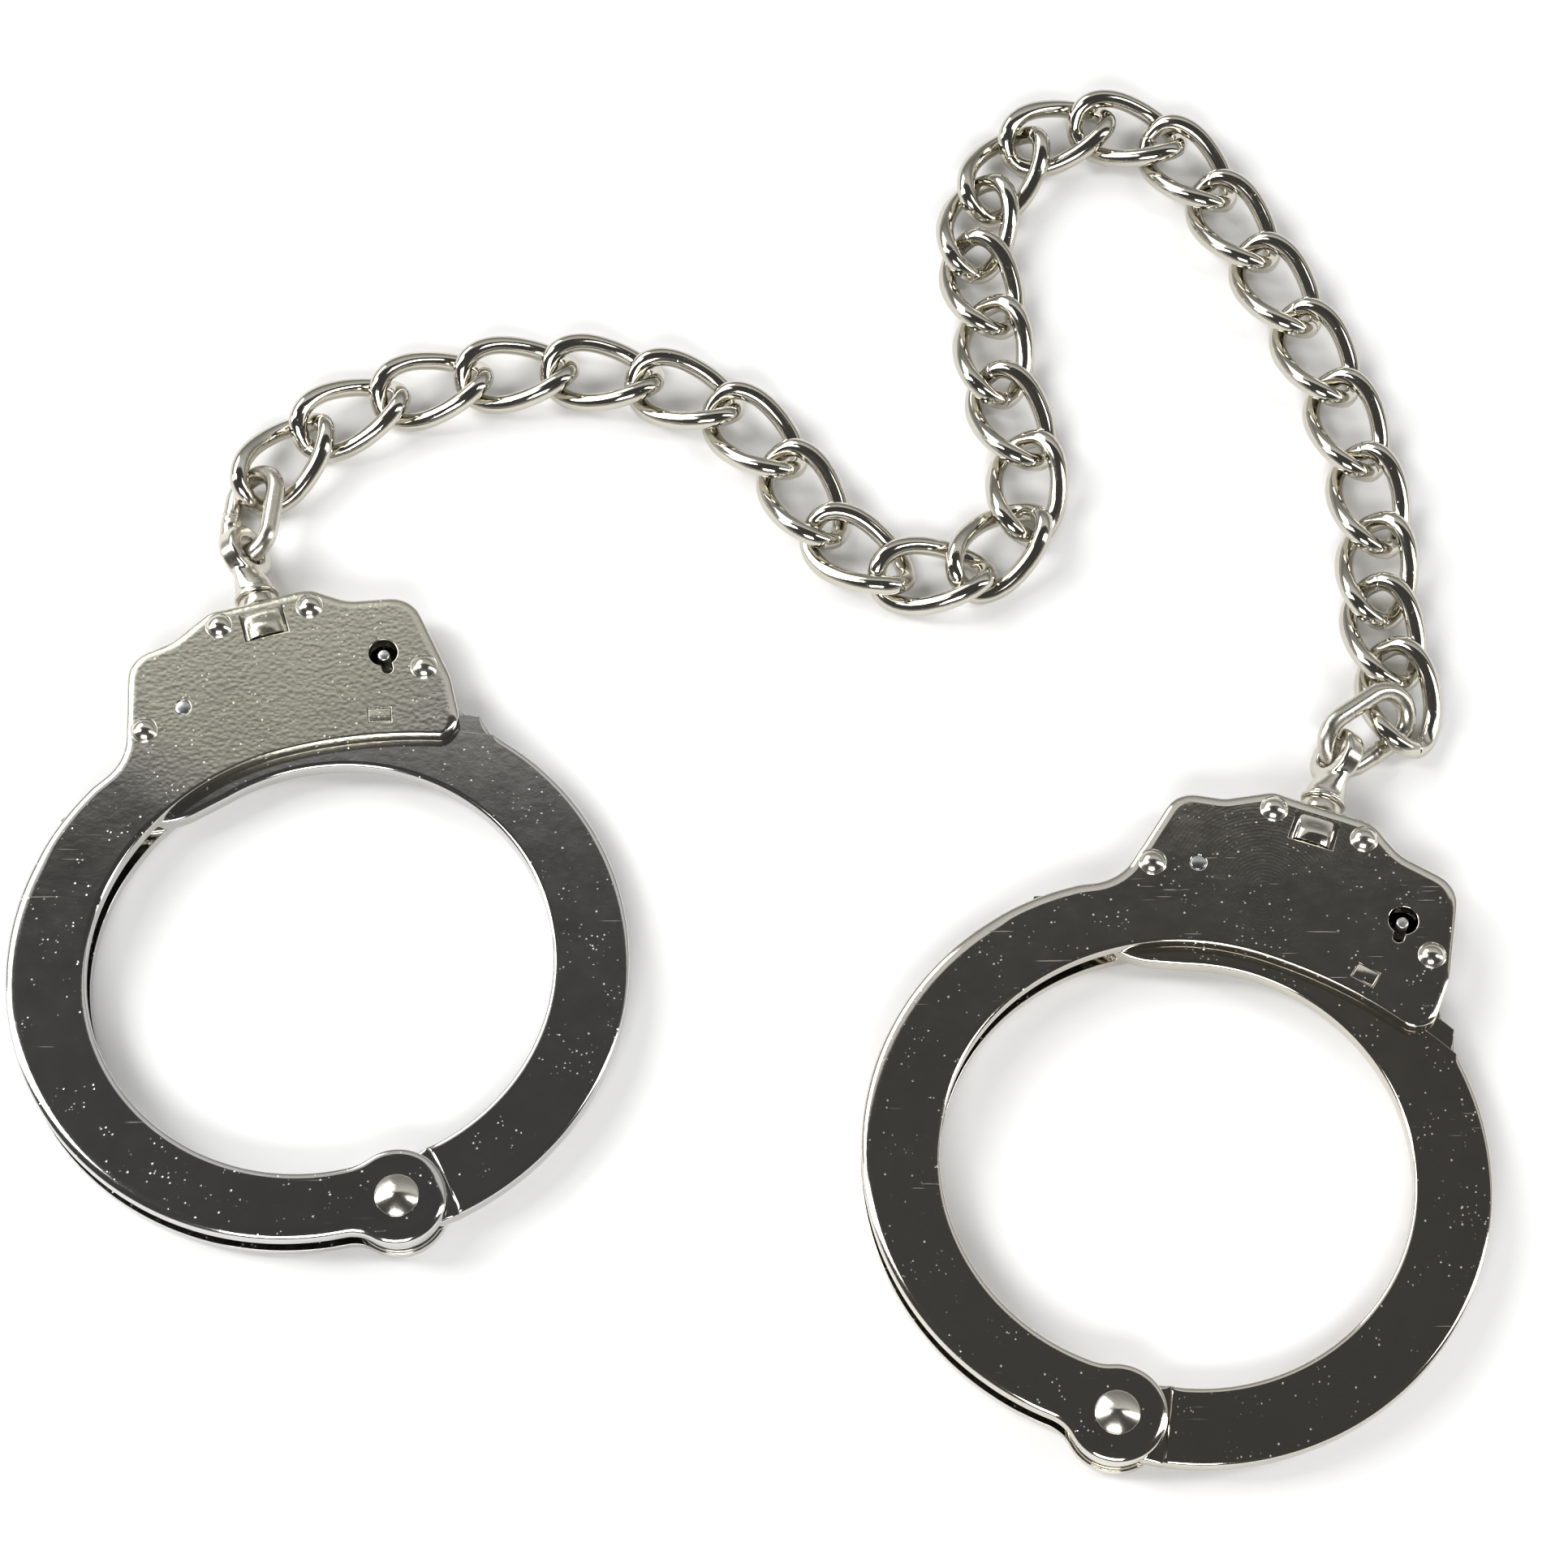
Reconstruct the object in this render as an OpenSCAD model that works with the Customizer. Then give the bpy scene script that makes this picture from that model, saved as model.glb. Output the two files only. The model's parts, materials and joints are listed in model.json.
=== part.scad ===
// Leg-iron handcuffs: two ratchet cuffs joined by a long chain of twisted links.
// Millimetres, +Z up. The set lies flat on the rivet heads of its back faces.

/* [Plates] */
// Thickness of each cheek plate
cheek_t = 2.4; // [1.6:0.1:3]
// Gap between the two cheek plates
gap_t = 3.4; // [2.8:0.1:4.4]
// Height of the rivet heads on the back
back_head_t = 0.8; // [0.4:0.1:1.5]

/* [Arm] */
// Inner radius of the fixed arm
arm_inner_r = 34.6; // [32:0.1:37]
// Outer radius of the fixed arm
arm_outer_r = 45.6; // [43:0.1:48]
// Radius of the rounded arm end at the hinge
boss_r = 7.6; // [6.5:0.1:8.5]

/* [Bow] */
// Inner radius of the swinging bow
bow_inner_r = 34.3; // [32:0.1:36]
// Outer radius of the swinging bow
bow_outer_r = 46.3; // [44:0.1:48]
// Full thickness of the bow
bow_t = 3.2; // [2.6:0.1:3.3]
// Thickness of the first terrace and of the hinge tongue
bow_mid_t = 2.8; // [2.2:0.1:3]
// Thickness of the toothed rim
bow_rim_t = 2.4; // [1.8:0.1:2.8]
// Radius of the tooth tips about the hinge
tooth_tip_r = 85.5; // [85:0.1:85.8]
// Depth of the ratchet teeth
tooth_depth = 1.4; // [0.8:0.1:1.6]
// Angle between ratchet teeth
tooth_pitch = 1.9; // [1.5:0.1:2.4]
// Number of ratchet teeth
tooth_count = 23; // [16:1:23]

/* [Rivets and pins] */
// Radius of the case rivet heads
rivet_head_r = 2.05; // [1.8:0.05:2.4]
// Radius of the case rivet shanks
rivet_shank_r = 1.3; // [1:0.05:1.6]
// Height of the case rivet domes
rivet_dome_h = 1; // [0.6:0.1:1.4]
// Radius of the hinge rivet head
pivot_head_r = 3.4; // [3:0.1:4]
// Height of the hinge rivet dome
pivot_dome_h = 1.5; // [1:0.1:2]
// Radius of the hinge rivet shank
pivot_shank_r = 2; // [1.6:0.1:2.4]
// Radius of the flush pawl pin
pawl_pin_r = 1.25; // [1:0.05:1.5]

/* [Keyhole] */
// Radius of the keyhole
key_hole_r = 2.35; // [2:0.05:2.6]
// Width of the key slot
key_slot_w = 1.8; // [1.4:0.1:2.2]
// Reach of the key slot from the keyhole centre
key_slot_l = 3.9; // [3.2:0.1:4.4]
// Radius of the key post
key_post_r = 1; // [0.8:0.05:1.2]

/* [Swivel] */
// Radius of the swivel shank
shank_r = 1.7; // [1.4:0.05:1.75]
// Radius of the swivel head inside the case
swivel_head_r = 3; // [2.6:0.1:3.05]
// Outer radius of the swivel eye
eye_r = 4.9; // [4.6:0.05:4.9]
// Radius of the hole in the swivel eye
eye_hole_r = 2.6; // [2.5:0.05:2.7]
// Thickness of the swivel eye
eye_t = 3.5; // [2.6:0.1:3.6]
// Roll of the eye about the shank
eye_roll = 35; // [0:1:60]

/* [Chain] */
// Wire diameter of the chain links
wire_d = 3.2; // [2.6:0.1:3.2]
// Centreline length of a chain link
link_l = 18.3; // [17.8:0.1:18.6]
// Centreline width of a chain link
link_w = 10.8; // [10.4:0.1:11]
// Twist at each end of a chain link
link_twist = 40; // [38:1:42]
// Height of the link centres
link_z = 3.8; // [3.7:0.1:4.4]
// Centreline length of an end link
end_link_l = 16; // [15.6:0.1:16.4]
// Centreline width of an end link
end_link_w = 8.9; // [8.6:0.1:9.2]
// Wire radius of an end link
end_wire_r = 1.58; // [1.4:0.02:1.6]

/* [Hidden] */
$fn = 48;
eps = 0.02;
fit = 0.05;
z_back = back_head_t;
z_gap = z_back + cheek_t;
z_front = z_gap + gap_t;
z_top = z_front + cheek_t;
z_mid = z_gap + gap_t / 2;
tooth_root_r = tooth_tip_r - tooth_depth;
tooth_start = 68.8;

// cuff frame: origin at the middle of the ring, swivel shank along +Y
pivot_p = [3.9, -41.6];
arm_c = [-0.6, -0.5];
arm_oc = [-2, 0.3];
bow_c = [3.9, -0.7];
lip_c = [3.9, -3.5];
lip_r = 40;
case_low_r = 78.1;
rivet_ps = [[-16.2, 46.2], [-0.4, 61.2], [14.6, 60.6], [29.9, 44.7]];
pawl_p = [-9.3, 48.4];
key_p = [24.1, 49];
pad_r = 81.6;
pad_a = 78;
pad_w = 3.8;
pad_h = 2.6;
swivel_x = 6.7;
case_top_y = 64;
window_w = 6.8;
window_y0 = 57.3;
window_y1 = 62.1;
eye_y = 75;
terrace_r = 80;
rim_r = 83;
tongue_r = 9.7;

// placing of the two cuffs on the ground plane
LEFT_P = [-68.1, -42.3];
LEFT_A = 16.2;
RIGHT_P = [65.8, -74.5];
RIGHT_A = -18.4;

function unit(v) = v / norm(v);
function polar(r, a) = [r * cos(a), r * sin(a)];
function ang(v) = atan2(v[1], v[0]);
function arc(c, r, a0, a1, n) = [for (i = [0:n]) c + polar(r, a0 + (a1 - a0) * i / n)];
// meeting point of two circles, on the left of the line c0 to c1 when s = 1
function meet(c0, r0, c1, r1, s) =
    let (d = norm(c1 - c0), k = acos((r0 * r0 + d * d - r1 * r1) / (2 * r0 * d)))
    c0 + polar(r0, ang(c1 - c0) + s * k);
// shortest signed turn between two angles
function turn(a0, a1) = let (d = (a1 - a0) % 360) d > 180 ? d - 360 : d < -180 ? d + 360 : d;
// arc that rounds corner b of the path a, b, c
function corner(a, b, c, r, n = 6) =
    let (u = unit(a - b),
         v = unit(c - b),
         h = acos(u * v) / 2,
         m = b + unit(u + v) * r / sin(h),
         s = b + u * r / tan(h),
         e = b + v * r / tan(h),
         a0 = ang(s - m),
         t = turn(a0, ang(e - m)))
    [for (i = [0:n]) m + polar(r, a0 + t * i / n)];
// path through vertices [x, y, radius] with every corner rounded
function rounded(first, vs, last) =
    let (ps = concat([first], [for (v = vs) [v[0], v[1]]], [last]))
    [for (i = [1:len(vs)]) each corner(ps[i - 1], ps[i], ps[i + 1], vs[i - 1][2])];

// outline of a cheek: hinge boss, inner edge, lock case, outer edge of the arm
inner_fillet = meet(arm_c, arm_inner_r - 8, pivot_p, boss_r + 8, -1);
outer_fillet = meet(arm_oc, arm_outer_r + 6, pivot_p, boss_r + 6, -1);
case_corners = [
    [33.1, 32.6, 3.5],
    [33.6, 42, 10],
    [31, 57.8, 5.4],
    [20.8, 59.9, 8],
    [15, 63.9, 6],
    [-1.6, 64.1, 5],
    [-8.4, 60.6, 6],
    [-16, 59.4, 5],
    [-20.2, 42.1, 9]
];
lip_start = ang(arm_c - lip_c);
cheek_path = concat(
    arc(pivot_p, boss_r, ang(outer_fillet - pivot_p), ang(inner_fillet - pivot_p), 40),
    arc(inner_fillet, 8, ang(pivot_p - inner_fillet), ang(inner_fillet - arm_c), 5),
    arc(arm_c, arm_inner_r, ang(inner_fillet - arm_c), lip_start - 360, 80),
    arc(lip_c, lip_r, lip_start, 90, 20),
    arc(pivot_p, case_low_r, 90, 71, 14),
    rounded(pivot_p + polar(case_low_r, 71), case_corners, arm_oc + polar(arm_outer_r, 124)),
    arc(arm_oc, arm_outer_r, 122, ang(outer_fillet - arm_oc) + 360, 90),
    arc(outer_fillet, 6, ang(arm_oc - outer_fillet), ang(pivot_p - outer_fillet), 6)
);

// outline of the bow: hinge tongue, outer edge, ratchet teeth, tip, inner edge
tongue_in = meet(bow_c, bow_inner_r, pivot_p, boss_r - 0.4, 1);
tongue_out = meet(bow_c, bow_outer_r, pivot_p, boss_r - 0.4, 1);
bow_teeth = [for (i = [0:tooth_count - 1]) each [
    pivot_p + polar(tooth_root_r, tooth_start + i * tooth_pitch),
    pivot_p + polar(tooth_tip_r, tooth_start + i * tooth_pitch + 0.12)
]];
bow_path = concat(
    arc(pivot_p, boss_r - 0.4, ang(tongue_in - pivot_p), ang(tongue_out - pivot_p) + 360, 30),
    arc(bow_c, bow_outer_r, ang(tongue_out - bow_c) + 1, 43.5, 70),
    [pivot_p + polar(tooth_tip_r, tooth_start - 0.5)],
    bow_teeth,
    [pivot_p + polar(tooth_root_r, tooth_start + tooth_count * tooth_pitch)],
    [pivot_p + polar(tooth_tip_r, tooth_start + tooth_count * tooth_pitch + 0.6)],
    rounded([-31.35, 36.3], [[-33.1, 35.55, 0.4], [-27.5, 32.2, 4], [-14, 30.2, 12]], [-7, 31.8]),
    arc(bow_c, bow_inner_r, 107, ang(tongue_in - bow_c) + 1, 90)
);

// outline of the filler between the cheeks, above the sweep of the bow
frame_corners = [
    [32.6, 43, 6],
    [30.4, 56.8, 4.8],
    [20.6, 59, 8],
    [14.8, 63.1, 5.4],
    [-1.4, 63.3, 4.4],
    [-8.2, 59.8, 6],
    [-15.3, 58.6, 4.4],
    [-19.4, 44, 4]
];
frame_low_r = 86.4;
frame_path = concat(
    arc(pivot_p, frame_low_r, 105.5, 71, 30),
    rounded(pivot_p + polar(frame_low_r, 71), frame_corners, pivot_p + polar(frame_low_r, 105.5))
);
cavity_path = [
    [-13, 40],
    [-13, 52],
    [-9, 54.5],
    [-5, 57.2],
    [20, 57.2],
    [26.5, 56],
    [28, 52],
    [27, 48],
    [27, 36]
];

// outline of the pawl when its teeth sit in the teeth of the bow
pawl_first = 8;
pawl_gap = 0.15;
pawl_teeth = [for (i = [pawl_first + 2:-1:pawl_first]) each [
    pivot_p + polar(tooth_tip_r + pawl_gap, tooth_start + i * tooth_pitch - 0.12),
    pivot_p + polar(tooth_root_r + pawl_gap + 0.1, tooth_start + i * tooth_pitch - 0.12)
]];
pawl_path = concat(
    arc(pawl_p, 2.6, 80, 280, 14),
    [[2, 46.2]],
    pawl_teeth,
    [pivot_p + polar(tooth_tip_r + pawl_gap, tooth_start + (pawl_first - 1) * tooth_pitch - 0.12)],
    [[16.6, 45.6], [20.4, 46.6], [21, 47.4], [21, 48.6], [20.2, 49.2], [8, 50.6]]
);
pawl_lift = 6.5;

module ring_prism(path, z0, t) {
    translate([0, 0, z0])
        linear_extrude(t)
            polygon(path);
}

module disc(p, r, z0, t) {
    translate([p[0], p[1], z0])
        cylinder(h = t, r = r);
}

module dome(p, r, z0, t) {
    ball = (r * r + t * t) / (2 * t);
    translate([p[0], p[1], z0])
        intersection() {
            translate([0, 0, t - ball])
                sphere(r = ball, $fn = 64);
            cylinder(h = t + 1, r = r + 1);
        }
}

// rod along the swivel axis between two distances from the ring centre
module axis_rod(y0, y1, r0, r1) {
    translate([swivel_x, y0, z_mid])
        rotate([-90, 0, 0])
            cylinder(h = y1 - y0, r1 = r0, r2 = r1);
}

module pad_block(w, h, z0, t) {
    translate([pivot_p[0], pivot_p[1], z0])
        rotate(pad_a)
            translate([pad_r - h / 2, -w / 2, 0])
                cube([h, w, t]);
}

// openings shared by both cheeks
module cheek_cuts(z0) {
    for (p = rivet_ps) {
        disc(p, rivet_shank_r + fit, z0 - 1, cheek_t + 2);
    }
    disc(pivot_p, pivot_shank_r + fit, z0 - 1, cheek_t + 2);
    disc(pawl_p, pawl_pin_r + fit, z0 - 1, cheek_t + 2);
    pad_block(pad_w, pad_h, z0 - 1, cheek_t + 2);
    axis_rod(window_y0 - 0.1, 60.4, swivel_head_r + 0.15, swivel_head_r + 0.15);
    axis_rod(60.2, 70, shank_r + 0.2, shank_r + 0.2);
}

module key_cut() {
    disc(key_p, key_hole_r, z_front - 1, cheek_t + 2);
    disc(key_p - [0, key_slot_l - key_slot_w / 2], key_slot_w / 2, z_front - 1, cheek_t + 2);
    translate([key_p[0] - key_slot_w / 2, key_p[1] - key_slot_l + key_slot_w / 2, z_front - 1])
        cube([key_slot_w, key_slot_l - key_slot_w / 2, cheek_t + 2]);
}

module front_cheek() {
    color([0.78, 0.77, 0.74])
        difference() {
            union() {
                ring_prism(cheek_path, z_front, cheek_t);
                intersection() {
                    translate([swivel_x, 58.6, z_mid])
                        sphere(r = 5.1, $fn = 64);
                    translate([swivel_x - window_w / 2, window_y0, z_front + 1])
                        cube([window_w, window_y1 - window_y0, 4]);
                }
            }
            cheek_cuts(z_front);
            key_cut();
            // lanced edges of the swivel bulge
            translate([swivel_x - window_w / 2 - 0.25, window_y0 - 0.25, z_front - 1])
                cube([window_w + 0.5, 0.25, 6]);
            for (s = [-1, 1]) {
                translate([swivel_x + s * (window_w / 2 + 0.125) - 0.125, window_y0, z_front - 1])
                    cube([0.25, window_y1 - window_y0, 6]);
            }
        }
}

module back_cheek() {
    color([0.72, 0.71, 0.68])
        difference() {
            ring_prism(cheek_path, z_back, cheek_t);
            cheek_cuts(z_back);
        }
}

// tabs staked flush through the cheeks; they guide the rim of the bow
module guide_pads() {
    color([0.8, 0.79, 0.76]) {
        pad_block(pad_w - 2 * fit, pad_h - 2 * fit, z_back, cheek_t + 0.2);
        pad_block(pad_w - 2 * fit, pad_h - 2 * fit, z_front - 0.2, cheek_t + 0.2);
    }
}

module frame_body() {
    difference() {
        ring_prism(frame_path, z_gap, gap_t);
        ring_prism(cavity_path, z_gap - 1, gap_t + 2);
        disc(key_p, 4.4, z_gap - 1, gap_t + 2);
        for (p = rivet_ps) {
            disc(p, rivet_shank_r + fit, z_gap - 1, gap_t + 2);
        }
        translate([swivel_x - swivel_head_r - 0.15, 50, z_gap - 1])
            cube([2 * swivel_head_r + 0.3, 10.4, gap_t + 2]);
        translate([swivel_x - shank_r - 0.2, 50, z_gap - 1])
            cube([2 * shank_r + 0.4, 20, gap_t + 2]);
    }
}

module frame_left() {
    color([0.55, 0.54, 0.52])
        intersection() {
            frame_body();
            translate([swivel_x - 60, 30, 0])
                cube([60, 50, 20]);
        }
}

module frame_right() {
    color([0.55, 0.54, 0.52])
        intersection() {
            frame_body();
            translate([swivel_x, 30, 0])
                cube([60, 50, 20]);
        }
}

module bow() {
    color([0.74, 0.73, 0.7])
        difference() {
            union() {
                ring_prism(bow_path, z_mid - bow_rim_t / 2, bow_rim_t);
                intersection() {
                    ring_prism(bow_path, z_mid - bow_mid_t / 2, bow_mid_t);
                    translate([pivot_p[0], pivot_p[1], 0])
                        cylinder(h = 20, r = rim_r, $fn = 180);
                }
                intersection() {
                    ring_prism(bow_path, z_mid - bow_t / 2, bow_t);
                    translate([pivot_p[0], pivot_p[1], 0])
                        difference() {
                            cylinder(h = 20, r = terrace_r, $fn = 180);
                            translate([0, 0, -1])
                                cylinder(h = 22, r = tongue_r);
                        }
                }
            }
            disc(pivot_p, pivot_shank_r + 0.08, 0, 20);
        }
}

module pivot_rivet() {
    color([0.85, 0.84, 0.81]) {
        disc(pivot_p, pivot_shank_r, z_back - eps, z_top - z_back + 2 * eps);
        disc(pivot_p, pivot_head_r - 0.2, 0, back_head_t);
        dome(pivot_p, pivot_head_r, z_top, pivot_dome_h);
    }
}

module case_rivets() {
    color([0.85, 0.84, 0.81])
        for (p = rivet_ps) {
            disc(p, rivet_shank_r, z_back - eps, z_top - z_back + 2 * eps);
            disc(p, rivet_head_r, 0, back_head_t);
            dome(p, rivet_head_r, z_top, rivet_dome_h);
        }
}

module pawl() {
    color([0.5, 0.49, 0.47])
        translate([pawl_p[0], pawl_p[1], 0])
            rotate(pawl_lift)
                translate([-pawl_p[0], -pawl_p[1], 0])
                    difference() {
                        ring_prism(pawl_path, z_mid - 1.2, 2.4);
                        disc(pawl_p, pawl_pin_r + 0.08, z_mid - 2, 4);
                    }
}

module pawl_pin() {
    color([0.62, 0.61, 0.59])
        disc(pawl_p, pawl_pin_r, z_back, z_top - z_back);
}

// leaf spring above the pawl, held by the left filler block
module pawl_spring() {
    color([0.45, 0.45, 0.47])
        translate([0, 0, z_mid - 1])
            linear_extrude(2)
                polygon([
                    [-12.9, 51.4],
                    [-8.6, 53.3],
                    [-4, 53.7],
                    [1.5, 53.3],
                    [1.5, 53.7],
                    [-4, 54.1],
                    [-8.8, 53.7],
                    [-12.9, 51.9]
                ]);
}

// double-lock bar that slides above the pawl
module lock_bolt() {
    color([0.52, 0.51, 0.49])
        ring_prism([
            [-3, 54.6],
            [18.6, 54.6],
            [19.4, 53.8],
            [21.6, 53.8],
            [22, 54.4],
            [22, 55.4],
            [21.6, 55.8],
            [17, 56.8],
            [-3, 56.8]
        ], z_mid - 1.2, 2.4);
}

module key_post() {
    color([0.8, 0.79, 0.76])
        disc(key_p, key_post_r, z_gap, z_top - 0.9 - z_gap);
}

// ring of the swivel eye, its hole along Z before turning
module eye_ring() {
    tube_r = (eye_r - eye_hole_r) / 2;
    flat = eye_t - 2 * tube_r;
    rotate_extrude($fn = 64)
        translate([eye_hole_r + tube_r, 0])
            union() {
                translate([0, flat / 2])
                    circle(r = tube_r, $fn = 32);
                translate([0, -flat / 2])
                    circle(r = tube_r, $fn = 32);
                translate([-tube_r, -flat / 2])
                    square([2 * tube_r, flat]);
            }
}

// eye bolt: head inside the case, shank, flange, flared neck and eye
module swivel(side) {
    color([0.8, 0.79, 0.76]) {
        difference() {
            union() {
                axis_rod(57.5, 59.9, swivel_head_r, swivel_head_r);
                axis_rod(59.8, 66.6, shank_r, shank_r);
                axis_rod(66.4, 67.1, 3.75, 3.75);
                axis_rod(67, eye_y - eye_hole_r - 1, 3.4, 2.5);
                translate([swivel_x, eye_y, z_mid])
                    rotate([0, side * (90 - eye_roll), 0])
                        eye_ring();
            }
            translate([swivel_x, eye_y, z_mid])
                rotate([0, side * (90 - eye_roll), 0])
                    cylinder(h = 20, r = eye_hole_r - eps, center = true);
        }
    }
}

// spacer ring between the case edge and the swivel flange
module swivel_collar() {
    color([0.83, 0.82, 0.79])
        difference() {
            axis_rod(case_top_y + 0.15, 66.4, 3.3, 3.3);
            axis_rod(case_top_y - 1, 70, shank_r + fit, shank_r + fit);
        }
}

// oval end link with the bead where its wire is welded
module end_link(c, yaw, pitch, roll, side) {
    half = (end_link_l - end_link_w) / 2;
    color([0.79, 0.78, 0.75])
        translate(c)
            rotate([roll, pitch, yaw]) {
                for (s = [-1, 1]) {
                    translate([s * half, 0, 0])
                        rotate(-90 * s)
                            rotate_extrude(angle = 180, $fn = 64)
                                translate([end_link_w / 2, 0])
                                    circle(r = end_wire_r, $fn = 32);
                    translate([-half, s * end_link_w / 2, 0])
                        rotate([0, 90, 0])
                            cylinder(h = 2 * half, r = end_wire_r);
                }
                weld_bead(side);
            }
}

module weld_bead(side) {
    for (x = [-1, 0, 1]) {
        translate([x * 0.9, side * end_link_w / 2, 0])
            sphere(r = end_wire_r + 0.3 - abs(x) * 0.1, $fn = 32);
    }
}

// centreline of a twisted link: a rounded oval whose ends are turned opposite ways
function lobe(v, half) = half * sign(v) * pow(abs(v), 0.8);
function link_point(t) =
    let (x = lobe(cos(t), link_l / 2), y = lobe(sin(t), link_w / 2), w = -link_twist * x / (link_l / 2))
    [x, y * cos(w), y * sin(w)];
// angles that spread the rings evenly round the oval
quarter_a = [0, 14, 31, 47, 61, 73, 83];
quarter_b = [90, 97, 107, 119, 133, 149, 166];
link_turns = [for (q = [0, 180]) each concat([for (a = quarter_a) a + q], [for (a = quarter_b) a + q])];
ring_n = len(link_turns);
side_n = 8;
function link_ring(t) =
    let (c = link_point(t),
         d = unit(link_point(t + 2) - link_point(t - 2)),
         o = unit(c - d * (c * d)),
         b = cross(d, o))
    [for (k = [0:side_n - 1]) c + wire_d / 2 * (o * cos(k * 360 / side_n) + b * sin(k * 360 / side_n))];
link_points = [for (t = link_turns) each link_ring(t)];
link_faces = [for (i = [0:ring_n - 1]) each [for (k = [0:side_n - 1]) each
    let (a = i * side_n + k,
         b = i * side_n + (k + 1) % side_n,
         c = (i + 1) % ring_n * side_n + (k + 1) % side_n,
         d = (i + 1) % ring_n * side_n + k)
    [[a, c, b], [a, d, c]]]];

// route of the chain on the ground: the points where neighbouring links hook
ROUTE = [
    [-81.5, 44.5], [-73, 55.5], [-60, 62], [-46, 66], [-31.5, 67.5],
    [-17, 65.5], [-3.5, 60], [6.5, 49.5], [13, 36.5], [24.5, 28],
    [37.5, 28.5], [46.5, 38], [47.5, 51.5], [42, 64.5], [42, 77.5],
    [38.5, 90.5], [41, 101], [48, 112.5], [60, 117], [72.5, 113],
    [80.5, 102.5], [87.5, 90], [94, 77], [99.5, 63.5], [103, 49.5],
    [105, 35], [104, 23.5], [106, 11.5], [107.5, 0]
];
// how far single links roll about their own length
ROLL = [
    0, 0, 0, 0, 0, 0, 0, 0, -2, -1, 2, 2, 0, 0,
    -3, 2, 0, 2, 2, 0, 0, 0, 0, 0, 0, 0, 0, 0
];

module link(i) {
    a = ROUTE[i - 1];
    b = ROUTE[i];
    color([0.8, 0.79, 0.76])
        translate([(a[0] + b[0]) / 2, (a[1] + b[1]) / 2, link_z])
            rotate([ROLL[i - 1], 0, ang(b - a)])
                polyhedron(link_points, link_faces, convexity = 6);
}

module left_cuff() {
    translate([LEFT_P[0], LEFT_P[1], 0])
        rotate(LEFT_A)
            children();
}

module right_cuff() {
    translate([RIGHT_P[0], RIGHT_P[1], 0])
        rotate(RIGHT_A)
            children();
}

left_cuff() front_cheek();  // left_front_cheek
left_cuff() back_cheek();  // left_back_cheek
left_cuff() guide_pads();  // left_guide_pads
left_cuff() frame_left();  // left_frame_left
left_cuff() frame_right();  // left_frame_right
left_cuff() bow();  // left_bow
left_cuff() pivot_rivet();  // left_pivot_rivet
left_cuff() case_rivets();  // left_case_rivets
left_cuff() pawl();  // left_pawl
left_cuff() pawl_pin();  // left_pawl_pin
left_cuff() pawl_spring();  // left_pawl_spring
left_cuff() lock_bolt();  // left_lock_bolt
left_cuff() key_post();  // left_key_post
left_cuff() swivel(1);  // left_swivel
left_cuff() swivel_collar();  // left_swivel_collar
right_cuff() front_cheek();  // right_front_cheek
right_cuff() back_cheek();  // right_back_cheek
right_cuff() guide_pads();  // right_guide_pads
right_cuff() frame_left();  // right_frame_left
right_cuff() frame_right();  // right_frame_right
right_cuff() bow();  // right_bow
right_cuff() pivot_rivet();  // right_pivot_rivet
right_cuff() case_rivets();  // right_case_rivets
right_cuff() pawl();  // right_pawl
right_cuff() pawl_pin();  // right_pawl_pin
right_cuff() pawl_spring();  // right_pawl_spring
right_cuff() lock_bolt();  // right_lock_bolt
right_cuff() key_post();  // right_key_post
right_cuff() swivel(-1);  // right_swivel
right_cuff() swivel_collar();  // right_swivel_collar
end_link([-82, 39, 4.4], 85, 3, -34, 1);  // end_link_a
end_link([101, -0.5, 5.1], 36, 4, 41, -1);  // end_link_b
link(1);  // link_01
link(2);  // link_02
link(3);  // link_03
link(4);  // link_04
link(5);  // link_05
link(6);  // link_06
link(7);  // link_07
link(8);  // link_08
link(9);  // link_09
link(10);  // link_10
link(11);  // link_11
link(12);  // link_12
link(13);  // link_13
link(14);  // link_14
link(15);  // link_15
link(16);  // link_16
link(17);  // link_17
link(18);  // link_18
link(19);  // link_19
link(20);  // link_20
link(21);  // link_21
link(22);  // link_22
link(23);  // link_23
link(24);  // link_24
link(25);  // link_25
link(26);  // link_26
link(27);  // link_27
link(28);  // link_28
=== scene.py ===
import json
import math

import bmesh
import bpy
from mathutils import Matrix, Vector, geometry, noise


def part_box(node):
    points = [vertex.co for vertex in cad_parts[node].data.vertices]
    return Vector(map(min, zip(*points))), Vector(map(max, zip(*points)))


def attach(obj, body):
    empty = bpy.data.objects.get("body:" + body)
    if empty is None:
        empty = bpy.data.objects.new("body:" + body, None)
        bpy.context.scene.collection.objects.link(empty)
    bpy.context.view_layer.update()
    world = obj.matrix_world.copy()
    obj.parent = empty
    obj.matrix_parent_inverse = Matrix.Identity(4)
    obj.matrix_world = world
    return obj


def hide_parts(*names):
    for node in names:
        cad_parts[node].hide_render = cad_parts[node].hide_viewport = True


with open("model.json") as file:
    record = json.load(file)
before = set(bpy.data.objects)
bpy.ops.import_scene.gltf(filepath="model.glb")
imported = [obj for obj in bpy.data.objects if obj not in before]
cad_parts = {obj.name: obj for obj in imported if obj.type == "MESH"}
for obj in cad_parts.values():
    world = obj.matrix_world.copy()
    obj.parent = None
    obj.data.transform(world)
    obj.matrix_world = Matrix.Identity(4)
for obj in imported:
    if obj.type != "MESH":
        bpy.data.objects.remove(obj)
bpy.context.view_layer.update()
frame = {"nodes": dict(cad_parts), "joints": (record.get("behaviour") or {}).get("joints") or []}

MM = 0.001
TAU = 2 * math.pi

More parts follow.
